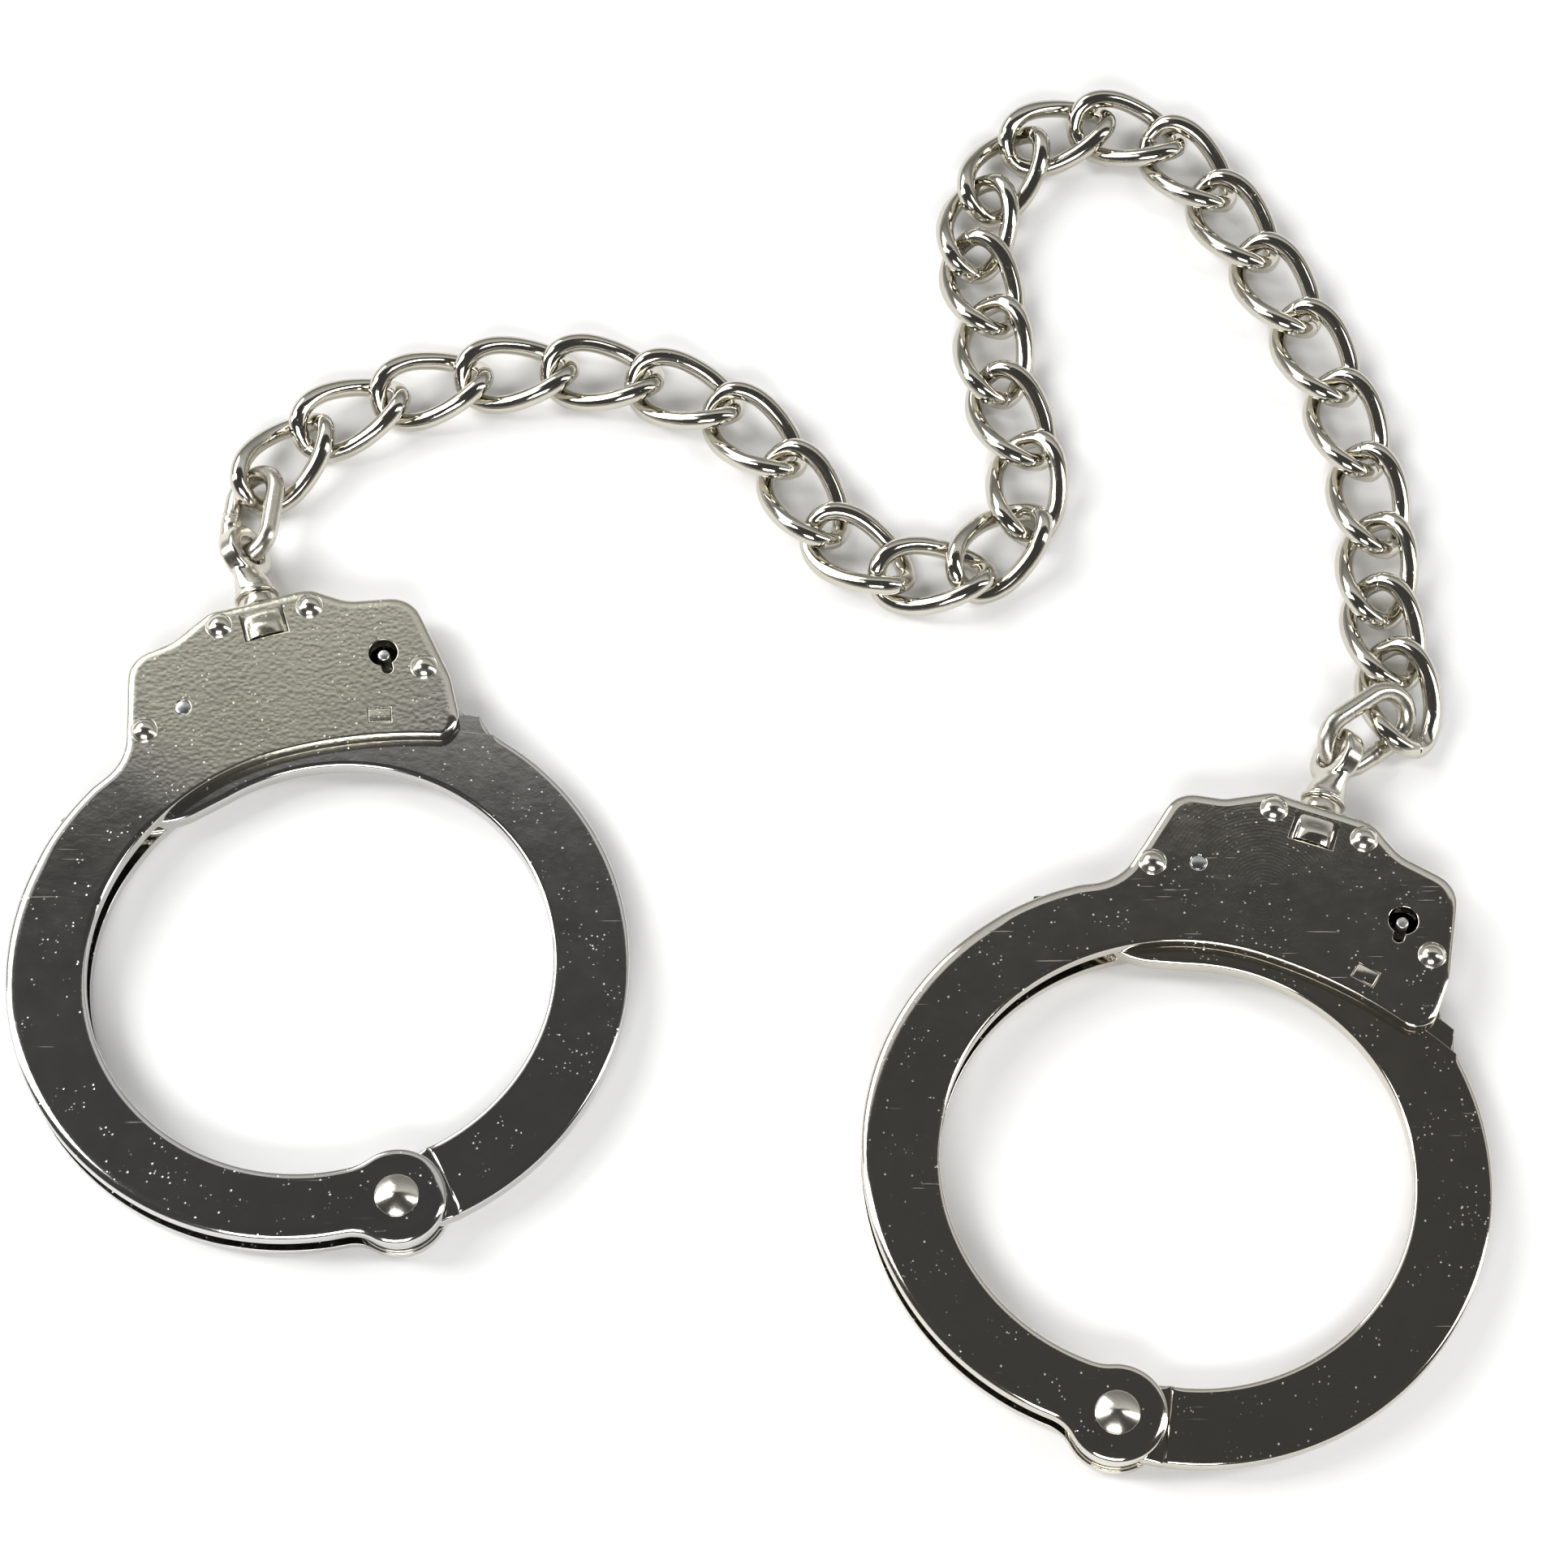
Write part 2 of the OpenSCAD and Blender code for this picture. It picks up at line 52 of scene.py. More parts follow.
# heights of the stacked plates, in millimetres as in the CAD
Z_BACK, Z_GAP, Z_FRONT, Z_TOP = 0.8, 3.2, 6.6, 9.0
Z_MID = (Z_GAP + Z_FRONT) / 2
# places in the frame of one cuff, as in the CAD: origin in the middle of the ring, swivel along +Y
HINGE = (3.9, -41.6)
RIVETS = [(-16.2, 46.2), (-0.4, 61.2), (14.6, 60.6), (29.9, 44.7)]
PAWL_PIN = (-9.3, 48.4)
KEY_POST = (24.1, 49.0)
ARM_CENTRE = (-2.0, 0.3)
SWIVEL_X = 6.7
EYE_Y = 75.0
# radii and heights of the rivets, pin and post
HEAD_RADIUS, HEAD_HEIGHT, HEAD_LIP = 2.05, 1.05, 0.2
HINGE_RADIUS, HINGE_HEIGHT, HINGE_BACK_RADIUS, HINGE_SHANK_RADIUS = 3.4, 1.5, 3.2, 2.0
PIN_RADIUS, POST_RADIUS, POST_SUNK = 1.25, 1.0, 0.9
# the bow's levels, as half thicknesses, and where they step, as distances from the hinge
BOW_HALVES = (1.2, 1.4, 1.6)
BLADE_HALF = BOW_HALVES[-1]
BLADE_EDGE, TERRACE_EDGE, TONGUE_EDGE = 80.0, 83.0, 9.7
TOOTH_ROOT, TOOTH_TIP = 84.0, 85.5
# the rim beside the case, where the first two teeth are drawn plain: turns about the hinge in degrees
PLAIN_FROM, PLAIN_TO = 66.0, 71.0
PLAIN_START, PLAIN_SLOPE = 81.0, 0.9
# staked pad: distance and turn about the hinge, its two sides, and the gap left round it
PAD_REACH, PAD_TURN, PAD_WIDTH, PAD_LENGTH, PAD_GAP = 81.6, 78.0, 3.8, 2.6, 0.26
# window over the swivel head: half width, low end and high end
WINDOW = (3.4, 57.3, 62.1)
SLOT_GAP = 0.22


# ---------------------------------------------------------------- materials
def shader(name, slots):
    """An empty node material with one Principled shader."""
    mat = bpy.data.materials.new(name)
    mat.use_nodes = True
    tree = mat.node_tree
    bsdf = tree.nodes["Principled BSDF"]
    for socket, value in slots.items():
        bsdf.inputs[socket].default_value = value
    return mat, tree, bsdf


class Nodes:
    """Short names for the shader nodes that the materials and the world share."""

    def __init__(self, tree):
        self.tree = tree
        self.coord = tree.nodes.new("ShaderNodeTexCoord").outputs["Object"]

    def put(self, socket, value):
        if isinstance(value, bpy.types.NodeSocket):
            self.tree.links.new(value, socket)
        elif value is not None:
            socket.default_value = value

    def mapped(self, scale, turn=0.0, vector=None):
        node = self.tree.nodes.new("ShaderNodeMapping")
        self.put(node.inputs["Vector"], vector or self.coord)
        node.inputs["Scale"].default_value = scale
        node.inputs["Rotation"].default_value = (0, 0, math.radians(turn))
        return node.outputs["Vector"]

    def noise(self, scale, detail=2.0, vector=None, rough=0.5):
        node = self.tree.nodes.new("ShaderNodeTexNoise")
        self.put(node.inputs["Vector"], vector or self.coord)
        node.inputs["Scale"].default_value = scale
        node.inputs["Detail"].default_value = detail
        node.inputs["Roughness"].default_value = rough
        return node.outputs["Fac"]

    def cells(self, scale, vector=None, feature="F1"):
        node = self.tree.nodes.new("ShaderNodeTexVoronoi")
        node.feature = feature
        self.put(node.inputs["Vector"], vector or self.coord)
        node.inputs["Scale"].default_value = scale
        return node.outputs["Distance"]

    def span(self, value, lo, hi, to_lo=0.0, to_hi=1.0):
        node = self.tree.nodes.new("ShaderNodeMapRange")
        self.put(node.inputs["Value"], value)
        node.inputs["From Min"].default_value = lo
        node.inputs["From Max"].default_value = hi
        node.inputs["To Min"].default_value = to_lo
        node.inputs["To Max"].default_value = to_hi
        return node.outputs["Result"]

    def math(self, op, a, b=None, c=None):
        node = self.tree.nodes.new("ShaderNodeMath")
        node.operation = op
        for socket, value in zip(node.inputs, (a, b, c)):
            self.put(socket, value)
        return node.outputs[0]

    def mix(self, fac, a, b):
        node = self.tree.nodes.new("ShaderNodeMix")
        node.data_type = "RGBA"
        self.put(node.inputs["Factor"], fac)
        self.put(node.inputs["A"], a)
        self.put(node.inputs["B"], b)
        return node.outputs["Result"]

    def bump(self, height, distance, strength=1.0, normal=None):
        node = self.tree.nodes.new("ShaderNodeBump")
        self.put(node.inputs["Height"], height)
        node.inputs["Distance"].default_value = distance
        node.inputs["Strength"].default_value = strength
        self.put(node.inputs["Normal"], normal)
        return node.outputs["Normal"]

    def far(self, point):
        """Distance from a point of the rest pose."""
        node = self.tree.nodes.new("ShaderNodeVectorMath")
        node.operation = "DISTANCE"
        self.put(node.inputs[0], self.coord)
        node.inputs[1].default_value = point
        return node.outputs["Value"]


def rgba(*rgb):
    return (*rgb, 1.0)


def darker(rgb, share):
    return rgba(*[v * share for v in rgb])


# distances from the middle of a case over which its pebbled plate runs out, in metres
PEBBLE_FULL, PEBBLE_NONE = 0.022, 0.036
SWIRL_REACH = 0.034
PIT_BRIGHT = rgba(0.9, 0.89, 0.86)
# direction, along-scale offset of each set of hairlines
HAIRLINES = ((24, 1.0), (-38, 7.0), (81, 13.0))
BUMP_DEPTH = 0.0001


def nickel(
    name, tint, dull, rough, peel=0.0, pebble=None, grain=0.4, specks=0.5, scratches=0.5, swirl=None, stain=0.5
):
    """Nickel plate over pressed steel: orange peel, fine grain, pits, hairlines and a warm stain.

    pebble is (centre, depth, colour far from the centre) and swirl is (centre, depth)."""
    mat, tree, bsdf = shader(name, {"Metallic": 1.0, "Specular IOR Level": 0.5})
    n = Nodes(tree)
    cloud = n.noise(45, 3)
    patch = n.noise(260, 4, rough=0.6)
    fine = n.noise(2300, 3, rough=0.6)
    # bright pits in the plate, gathered in patches, and single larger ones
    pit = n.span(n.cells(1150), 0.08, 0.2, 1.0, 0.0)
    pit = n.math("MULTIPLY", pit, n.span(n.noise(210, 3), 0.52, 0.64))
    dot = n.span(n.cells(430), 0.03, 0.09, 1.0, 0.0)
    pits = n.math("MULTIPLY", n.math("MAXIMUM", pit, dot), specks)
    # hairline scratches, broken up along their length
    lines = None
    for turn, seed in HAIRLINES:
        vec = n.mapped((55 + seed, 2600, 2600), turn)
        line = n.span(n.noise(1.0, 1, vec), 0.75, 0.8)
        line = n.math("MULTIPLY", line, n.span(n.noise(120 + 9 * seed, 1), 0.5, 0.62))
        lines = line if lines is None else n.math("MAXIMUM", lines, line)
    lines = n.math("MULTIPLY", lines, scratches)
    # colour: warm nickel, greyer where the plate is worn or stained
    colour = rgba(*tint)
    if pebble:
        middle, pebble_depth, far_tint = pebble
        near = n.span(n.far(middle), PEBBLE_FULL, PEBBLE_NONE, 1.0, 0.0)
        colour = n.mix(near, rgba(*far_tint), colour)
    colour = n.mix(n.span(cloud, 0.35, 0.7, 0.0, stain), colour, rgba(*dull))
    colour = n.mix(n.span(patch, 0.45, 0.8, 0.0, 0.12), colour, darker(dull, 0.82))
    colour = n.mix(n.span(fine, 0.35, 0.72, 0.0, 0.3 * grain), colour, darker(dull, 0.6))
    colour = n.mix(pits, colour, PIT_BRIGHT)
    n.put(bsdf.inputs["Base Color"], colour)
    r = n.span(patch, 0.3, 0.75, rough[0], rough[1])
    r = n.math("ADD", r, n.math("MULTIPLY", n.span(fine, 0.3, 0.7, -0.5, 0.5), 0.05 * grain))
    r = n.math("ADD", r, n.math("MULTIPLY", pits, 0.34))
    r = n.math("ADD", r, n.math("MULTIPLY", lines, 0.22))
    if pebble:
        r = n.math("ADD", r, n.math("MULTIPLY", near, 0.12))
    n.put(bsdf.inputs["Roughness"], r)
    n.put(bsdf.inputs["Metallic"], n.span(pits, 0.0, 1.0, 1.0, 0.25))
    height = n.math("MULTIPLY", fine, 0.045 * grain)
    if peel:
        wave = n.noise(620, 2, rough=0.45)
        height = n.math("ADD", height, n.math("MULTIPLY", wave, peel))
    if pebble:
        knobs = n.cells(1250, n.mapped((1.0, 1.3, 1.0), 16), "SMOOTH_F1")
        knobs = n.math("ADD", knobs, n.math("MULTIPLY", n.noise(1500, 2), 0.5))
        knobs = n.math("MULTIPLY", knobs, n.span(near, 0.0, 1.0, 0.08 * pebble_depth, pebble_depth))
        height = n.math("ADD", height, knobs)
    if swirl:
        centre, depth = swirl
        node = tree.nodes.new("ShaderNodeTexWave")
        node.wave_type = "RINGS"
        node.rings_direction = "SPHERICAL"
        vec = tree.nodes.new("ShaderNodeVectorMath")
        vec.operation = "SUBTRACT"
        n.put(vec.inputs[0], n.coord)
        vec.inputs[1].default_value = centre
        n.put(node.inputs["Vector"], vec.outputs["Vector"])
        node.inputs["Scale"].default_value = 520
        node.inputs["Distortion"].default_value = 3.0
        node.inputs["Detail"].default_value = 3
        ring = n.math("MULTIPLY", node.outputs["Fac"], n.span(n.far(centre), 0.0, SWIRL_REACH, 1.0, 0.0))
        height = n.math("ADD", height, n.math("MULTIPLY", ring, depth))
    height = n.math("SUBTRACT", height, n.math("MULTIPLY", pits, 0.35))
    height = n.math("SUBTRACT", height, n.math("MULTIPLY", lines, 0.05))
    n.put(bsdf.inputs["Normal"], n.bump(height, BUMP_DEPTH))
    return mat


def lock_steel(name, tint, rough, blue=0.0):
    """Bare ground steel of the works inside the lock, with grinding lines and a film of oil."""
    mat, tree, bsdf = shader(name, {"Metallic": 1.0, "Specular IOR Level": 0.5})
    n = Nodes(tree)
    ground = n.noise(1.0, 3, n.mapped((260, 6200, 900), 12))
    oil = n.noise(420, 3)
    colour = n.mix(n.span(oil, 0.4, 0.65), rgba(*tint), darker(tint, 0.6))
    if blue:
        colour = n.mix(n.span(n.noise(150, 2), 0.45, 0.6, 0, blue), colour, rgba(0.1, 0.13, 0.24))
    n.put(bsdf.inputs["Base Color"], colour)
    n.put(bsdf.inputs["Roughness"], n.span(oil, 0.35, 0.7, rough, rough + 0.18))
    n.put(bsdf.inputs["Normal"], n.bump(ground, 0.00004, 0.8))
    return mat


def floor_paper(name):
    """Plain white paper sweep with a hardly visible tooth."""
    mat, tree, bsdf = shader(name, {"Specular IOR Level": 0.12, "Roughness": 0.85})
    n = Nodes(tree)
    tone = n.mix(n.span(n.noise(7, 2), 0.3, 0.7), rgba(0.9, 0.9, 0.9), rgba(0.915, 0.913, 0.908))
    n.put(bsdf.inputs["Base Color"], tone)
    n.put(bsdf.inputs["Normal"], n.bump(n.noise(900, 3), 0.00002, 0.4))
    # the far end of the sweep is lit by the studio, out of reach of the lamps
    bsdf.inputs["Emission Color"].default_value = rgba(1.0, 1.0, 1.0)
    n.put(bsdf.inputs["Emission Strength"], n.span(n.far((0.0, 0.0, 0.0)), 0.7, 2.0, 0.0, 0.95))
    return mat


def cuff_frame(side):
    """Takes millimetres in a cuff's own frame to metres in the shared one, by the CAD's rivet and swivel joint."""
    axis = next(j for j in frame["joints"] if j["name"] == side + "_swivel_turn")["axis"]
    lo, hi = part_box(side + "_pivot_rivet")
    turn = math.atan2(axis[1], axis[0]) - math.pi / 2
    place = Matrix.Translation(((lo.x + hi.x) / 2, (lo.y + hi.y) / 2, 0))
    own = Matrix.Translation((-HINGE[0], -HINGE[1], 0))
    return place @ Matrix.Rotation(turn, 4, "Z") @ Matrix.Scale(MM, 4) @ own


CUFF = {side: cuff_frame(side) for side in ("left", "right")}


def spot(side, x, y):
    return tuple(CUFF[side] @ Vector((x, y, Z_TOP)))


# base colours of the nickel, and what it wears to
WARM, GREY = (0.7, 0.672, 0.56), (0.54, 0.52, 0.45)
MATS = {
    "left_cheek": nickel(
        "left_cheek_nickel", WARM, GREY, rough=(0.08, 0.12), peel=0.07,
        pebble=(spot("left", 8.0, 55.0), 0.24, (0.66, 0.655, 0.64)), specks=0.7, scratches=0.6,
    ),
    "right_cheek": nickel(
        "right_cheek_nickel", (0.71, 0.68, 0.61), (0.6, 0.57, 0.51), rough=(0.07, 0.11), peel=0.08,
        specks=0.5, scratches=0.9, swirl=(spot("right", 2.0, 47.0), 0.012),
    ),
    "left_bow": nickel(
        "left_bow_nickel", (0.66, 0.65, 0.62), (0.56, 0.55, 0.52), rough=(0.08, 0.12), peel=0.06,
        specks=0.6, scratches=0.8,
    ),
    "right_bow": nickel(
        "right_bow_nickel", (0.68, 0.645, 0.57), (0.57, 0.54, 0.48), rough=(0.07, 0.11), peel=0.06,
        specks=0.5, scratches=0.8,
    ),
    "rivet": nickel(
        "rivet_nickel", (0.7, 0.675, 0.6), GREY, rough=(0.15, 0.22), peel=0.08,
        specks=0.2, scratches=0.3, stain=0.3,
    ),
    "chain": nickel(
        "chain_nickel", (0.64, 0.61, 0.535), GREY, rough=(0.07, 0.13), peel=0.14, specks=0.35, scratches=0.5
    ),
    "end": nickel(
        "end_link_nickel", (0.66, 0.625, 0.545), GREY, rough=(0.2, 0.32), peel=0.3, grain=1.0,
        specks=0.5, scratches=0.6,
    ),
    "swivel": nickel(
        "swivel_nickel", (0.68, 0.645, 0.57), GREY, rough=(0.14, 0.24), peel=0.22, specks=0.4, scratches=0.5
    ),
    "post": nickel(
        "post_steel", (0.7, 0.69, 0.66), (0.5, 0.49, 0.47), rough=(0.25, 0.4), grain=1.2,
        specks=0.4, scratches=0.3,
    ),
    "pin": nickel(
        "pin_steel", (0.56, 0.57, 0.58), (0.48, 0.49, 0.5), rough=(0.2, 0.3), grain=1.2,
        specks=0.0, scratches=0.3,
    ),
    "steel": lock_steel("lock_steel", (0.42, 0.41, 0.4), 0.3),
    "spring": lock_steel("spring_steel", (0.3, 0.31, 0.34), 0.22, blue=0.7),
    "paper": floor_paper("white_paper"),
}


# ---------------------------------------------------------------- mesh tools
def finish_mesh(name, bm, place, mat, body, replaces=(), sharp=40.0):
    """Makes the object of a bmesh drawn in millimetres, puts it on its body and hides the CAD parts it replaces.
    Nothing goes below the floor, and edges sharper than an angle stay crisp."""
    bm.transform(place)
    for v in bm.verts:
        v.co.z = max(v.co.z, 0.0)
    for face in bm.faces:
        face.smooth = True
    mesh = bpy.data.meshes.new(name)
    bm.to_mesh(mesh)
    bm.free()
    mesh.set_sharp_from_angle(angle=math.radians(sharp))
    mesh.materials.append(mat)
    obj = bpy.data.objects.new(name, mesh)
    bpy.context.scene.collection.objects.link(obj)
    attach(obj, body)
    if replaces:
        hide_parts(*replaces)


def left_of(v):
    return Vector((-v.y, v.x))


def middle_of(points):
    return sum(points, Vector((0, 0))) / len(points)


def from_hinge(p):
    return (p - Vector(HINGE)).length


def cap_loops(node, level, place):
    """Closed outlines, seen from above, of the faces of a CAD node that look up at one height."""
    mesh = frame["nodes"][node].data
    edges, spots = {}, {}
    for poly in mesh.polygons:
        if poly.normal.z < 0.999 or abs(poly.center.z - level * MM) > 2e-5:
            continue
        ring = []
        for i in poly.vertices:
            co = mesh.vertices[i].co
            key = (round(co.x * 2e5), round(co.y * 2e5))
            spots[key] = co
            ring.append(key)
        for a, b in zip(ring, ring[1:] + ring[:1]):
            if a == b:
                continue
            if (b, a) in edges:
                del edges[(b, a)]
            else:
                edges[(a, b)] = True
    following = {}
    for a, b in edges:
        following.setdefault(a, []).append(b)
    back = place.inverted()
    loops = []
    while following:
        start = next(iter(following))
        loop, here = [], start
        while here in following:
            loop.append((back @ spots[here]).to_2d())
            ahead = following[here].pop()
            if not following[here]:
                del following[here]
            here = ahead
        if len(loop) > 2:
            loops.append(loop)
    return sorted(loops, key=lambda ring: -abs(area(ring)))


def rounded_hole(loop, steps=48):
    """A hole's outline: as it is if it has few corners, an even circle if it is round, else refined."""
    if len(loop) < 9:
        return loop
    middle = middle_of(loop)
    reach = [(p - middle).length for p in loop]
    if max(reach) - min(reach) > 0.06 * max(reach):
        return refine(loop, 1, 50.0, 0.3)
    sign = -1 if area(loop) < 0 else 1
    turns = [TAU * i / steps for i in range(steps)]
    return [middle + max(reach) * Vector((math.cos(a), sign * math.sin(a))) for a in turns]


def area(loop):
    return sum(a.x * b.y - b.x * a.y for a, b in zip(loop, loop[1:] + loop[:1])) / 2


LONGEST_EDGE = 1.5


def refine(loop, passes=1, sharp=24.0, shortest=0.5):
    """Adds points on the curve through a loop, and leaves its corners alone."""
    for _ in range(passes):
        count = len(loop)
        new = []
        for i in range(count):
            a, b, c, d = (loop[(i + k) % count] for k in (-1, 0, 1, 2))
            new.append(b)
            u, v, w = b - a, c - b, d - c
            if v.length < shortest:
                continue
            bends = [abs(math.degrees(u.angle_signed(v, 0.0))), abs(math.degrees(v.angle_signed(w, 0.0)))]
            if max(bends) > sharp:
                continue
            even = max(u.length, v.length, w.length) < 2.4 * min(u.length, v.length, w.length)
            new.append((9 * (b + c) - a - d) / 16 if even else (b + c) / 2)
        loop = new
    return split(loop, LONGEST_EDGE)


def split(loop, longest):
    """The same outline with no edge longer than a length."""
    out = []
    for a, b in zip(loop, loop[1:] + loop[:1]):
        parts = max(1, math.ceil((b - a).length / longest))
        out += [a.lerp(b, k / parts) for k in range(parts)]
    return out


def inset(loop, widths):
    """The loop moved into its material, by its own distance at each point."""
    out = []
    for i, b in enumerate(loop):
        u = (b - loop[i - 1]).normalized()
        v = (loop[(i + 1) % len(loop)] - b).normalized()
        n = left_of(u) + left_of(v)
        n = n.normalized() if n.length > 1e-6 else left_of(u)
        out.append(b + n * widths[i] / max(n.dot(left_of(u)), 0.6))
    return out


def eased(values, passes):
    """The values of a closed row, each averaged with its neighbours."""
    for _ in range(passes):
        values = [(values[i - 1] + 2 * v + values[(i + 1) % len(values)]) / 4 for i, v in enumerate(values)]
    return values


# width of the flat ring inside a roll, and the least gap between a roll and a hole
FLAT_RING, ROLL_GAP = 0.06, 0.3


def plate(bm, loops, low, high, roll_low, roll_high, steps=6):
    """Adds one pressed plate: walls between two heights, and edges rolled over as a press leaves them.
    A roll gives the width at a point of the outline, and its drop is a share of that width.
    A thin flat ring inside each roll keeps the smooth shading of the roll off the flat face."""
    ends = {0: [], 1: []}
    for which, loop in enumerate(loops):
        rows = []
        for top, roll in ((0, roll_low), (1, roll_high)):
            widths, drop = roll(loop, which)
            if not which:
                others = [p for ring in loops[1:] for p in ring]
                widths = [min([w] + [(p - q).length - ROLL_GAP for q in others]) for p, w in zip(loop, widths)]
            z, sign = (high, 1) if top else (low, -1)
            rings = []
            for k in range(steps + 1):
                t = math.pi / 2 * k / steps
                ring = inset(loop, [w * (1 - math.cos(t)) for w in widths])
                rings.append([
                    bm.verts.new((p.x, p.y, z - sign * drop * w * (1 - math.sin(t)))) for p, w in zip(ring, widths)
                ])
            rings.append([bm.verts.new((p.x, p.y, z)) for p in inset(loop, [w + FLAT_RING for w in widths])])
            rows = rings[::-1] + rows if not top else rows + rings
            ends[top].append(rings[-1])
        for lower, upper in zip(rows, rows[1:]):
            for i in range(len(loop)):
                j = (i + 1) % len(loop)
                bm.faces.new((lower[i], lower[j], upper[j], upper[i]))
    for top in (0, 1):
        rings = ends[top]
        verts = [v for ring in rings for v in ring]
        edges, first = [], 0
        for ring in rings:
            edges += [(first + i, first + (i + 1) % len(ring)) for i in range(len(ring))]
            first += len(ring)
        spots = [v.co.to_2d() for v in verts]
        made = geometry.delaunay_2d_cdt(spots, edges, [], 1, 1e-7)
        z = verts[0].co.z
        points = [verts[group[0]] if group else bm.verts.new((*p, z)) for p, group in zip(made[0], made[3])]
        outlines = [[v.co.to_2d() for v in ring] for ring in rings]
        for tri in made[2]:
            middle = middle_of([made[0][i] for i in tri])
            if not inside(middle, outlines[0]) or any(inside(middle, hole) for hole in outlines[1:]):
                continue
            face = [points[i] for i in tri]
            normal = (face[1].co - face[0].co).cross(face[2].co - face[0].co)
            if (normal.z > 0) != bool(top):
                face.reverse()
            bm.faces.new(face)


def lathe(bm, profile, place, steps=64):
    """Turns a profile of (radius, height) points round Z, then moves it to its place."""
    rings = []
    for r, z in profile:
        if r < 1e-6:
            rings.append([bm.verts.new(place @ Vector((0, 0, z)))])
        else:
            spots = [Vector((r * math.cos(TAU * i / steps), r * math.sin(TAU * i / steps), z)) for i in range(steps)]
            rings.append([bm.verts.new(place @ p) for p in spots])
    for a, b in zip(rings, rings[1:]):
        for i in range(steps):
            j = (i + 1) % steps
            if len(a) == 1 and len(b) > 1:
                bm.faces.new((a[0], b[i], b[j]))
            elif len(b) == 1 and len(a) > 1:
                bm.faces.new((a[i], a[j], b[0]))
            elif len(a) > 1:
                bm.faces.new((a[i], a[j], b[j], b[i]))
    return rings


def at(x, y, z=0.0):
    return Matrix.Translation((x, y, z))


def smooth_step(x, lo, hi):
    t = min(1.0, max(0.0, (x - lo) / (hi - lo)))
    return t * t * (3 - 2 * t)


# ---------------------------------------------------------------- cuffs
# height on a cuff above which an outline belongs to the case, and how near the hinge its lower edge ends
CASE_LOW, CASE_INNER = 30.0, 79.0
# roll of a crisp edge, and how close a point has to be to a step to lie on it
CRISP, ON_STEP = 0.06, 0.06


def cheek_roll(loop, which):
    """Wide soft roll outside, narrower towards the ring and under the case, small at the holes.
    The window has none at its high end, where the hood grows out of the plate."""
    if which:
        return [0.01 if abs(p.y - WINDOW[2]) < 0.01 and abs(p.x - SWIVEL_X) < 4 else 0.16 for p in loop], 0.7
    widths = []
    for p in loop:
        if p.y < CASE_LOW:
            widths.append(0.95 + 0.95 * smooth_step((p - Vector(ARM_CENTRE)).length, 38.0, 44.0))
        else:
            widths.append(0.45 if from_hinge(p) < CASE_INNER else 1.6)
    return eased(widths, 6), 0.45


def fine_roll(loop, which):
    """The hardly broken edge on the hidden side of a plate."""
    return [0.08] * len(loop), 0.8


def bow_roll(loop, which):
    """Rolled along the outline, crisp at the teeth and where one level steps down to the next."""
    widths = []
    for p in loop:
        reach = from_hinge(p)
        on_step = min(abs(reach - edge) for edge in (BLADE_EDGE, TERRACE_EDGE, TONGUE_EDGE)) < ON_STEP
        widths.append(CRISP if which or on_step or reach > TOOTH_ROOT else 0.8)
    soft = eased(widths, 3)
    return [min(a, b) if a > CRISP else a for a, b in zip(widths, soft)], 0.62


def window_loop():
    """The window's outline, with a slot round three sides of the hood."""
    half, y0, y1 = WINDOW
    x0, x1 = SWIVEL_X - half - SLOT_GAP, SWIVEL_X + half + SLOT_GAP
    return [Vector(p) for p in ((x0, y0 - SLOT_GAP), (x0, y1), (x1, y1), (x1, y0 - SLOT_GAP))]


def in_window(loop):
    mid = middle_of(loop)
    return abs(mid.x - SWIVEL_X) < WINDOW[0] and WINDOW[1] < mid.y < WINDOW[2]


def make_cheek(side, face):
    """A cheek plate from its CAD outline, rolled on the side that is seen."""
    place = CUFF[side]
    loops = cap_loops(f"{side}_{face}_cheek", Z_TOP if face == "front" else Z_GAP, place)
    outer = refine(loops[0], 1)
    holes = [rounded_hole(ring) for ring in loops[1:] if not in_window(ring)]
    if face == "front":
        holes.append(window_loop())
    bm = bmesh.new()
    if face == "front":
        plate(bm, [outer] + holes, Z_FRONT, Z_TOP, fine_roll, cheek_roll)
    else:
        plate(bm, [outer] + holes, Z_BACK, Z_GAP, cheek_roll, fine_roll)
    finish_mesh(
        f"{side}_{face}_plate", bm, place, MATS[side + "_cheek"], side + "_case",
        [f"{side}_{face}_cheek"], 50.0,
    )


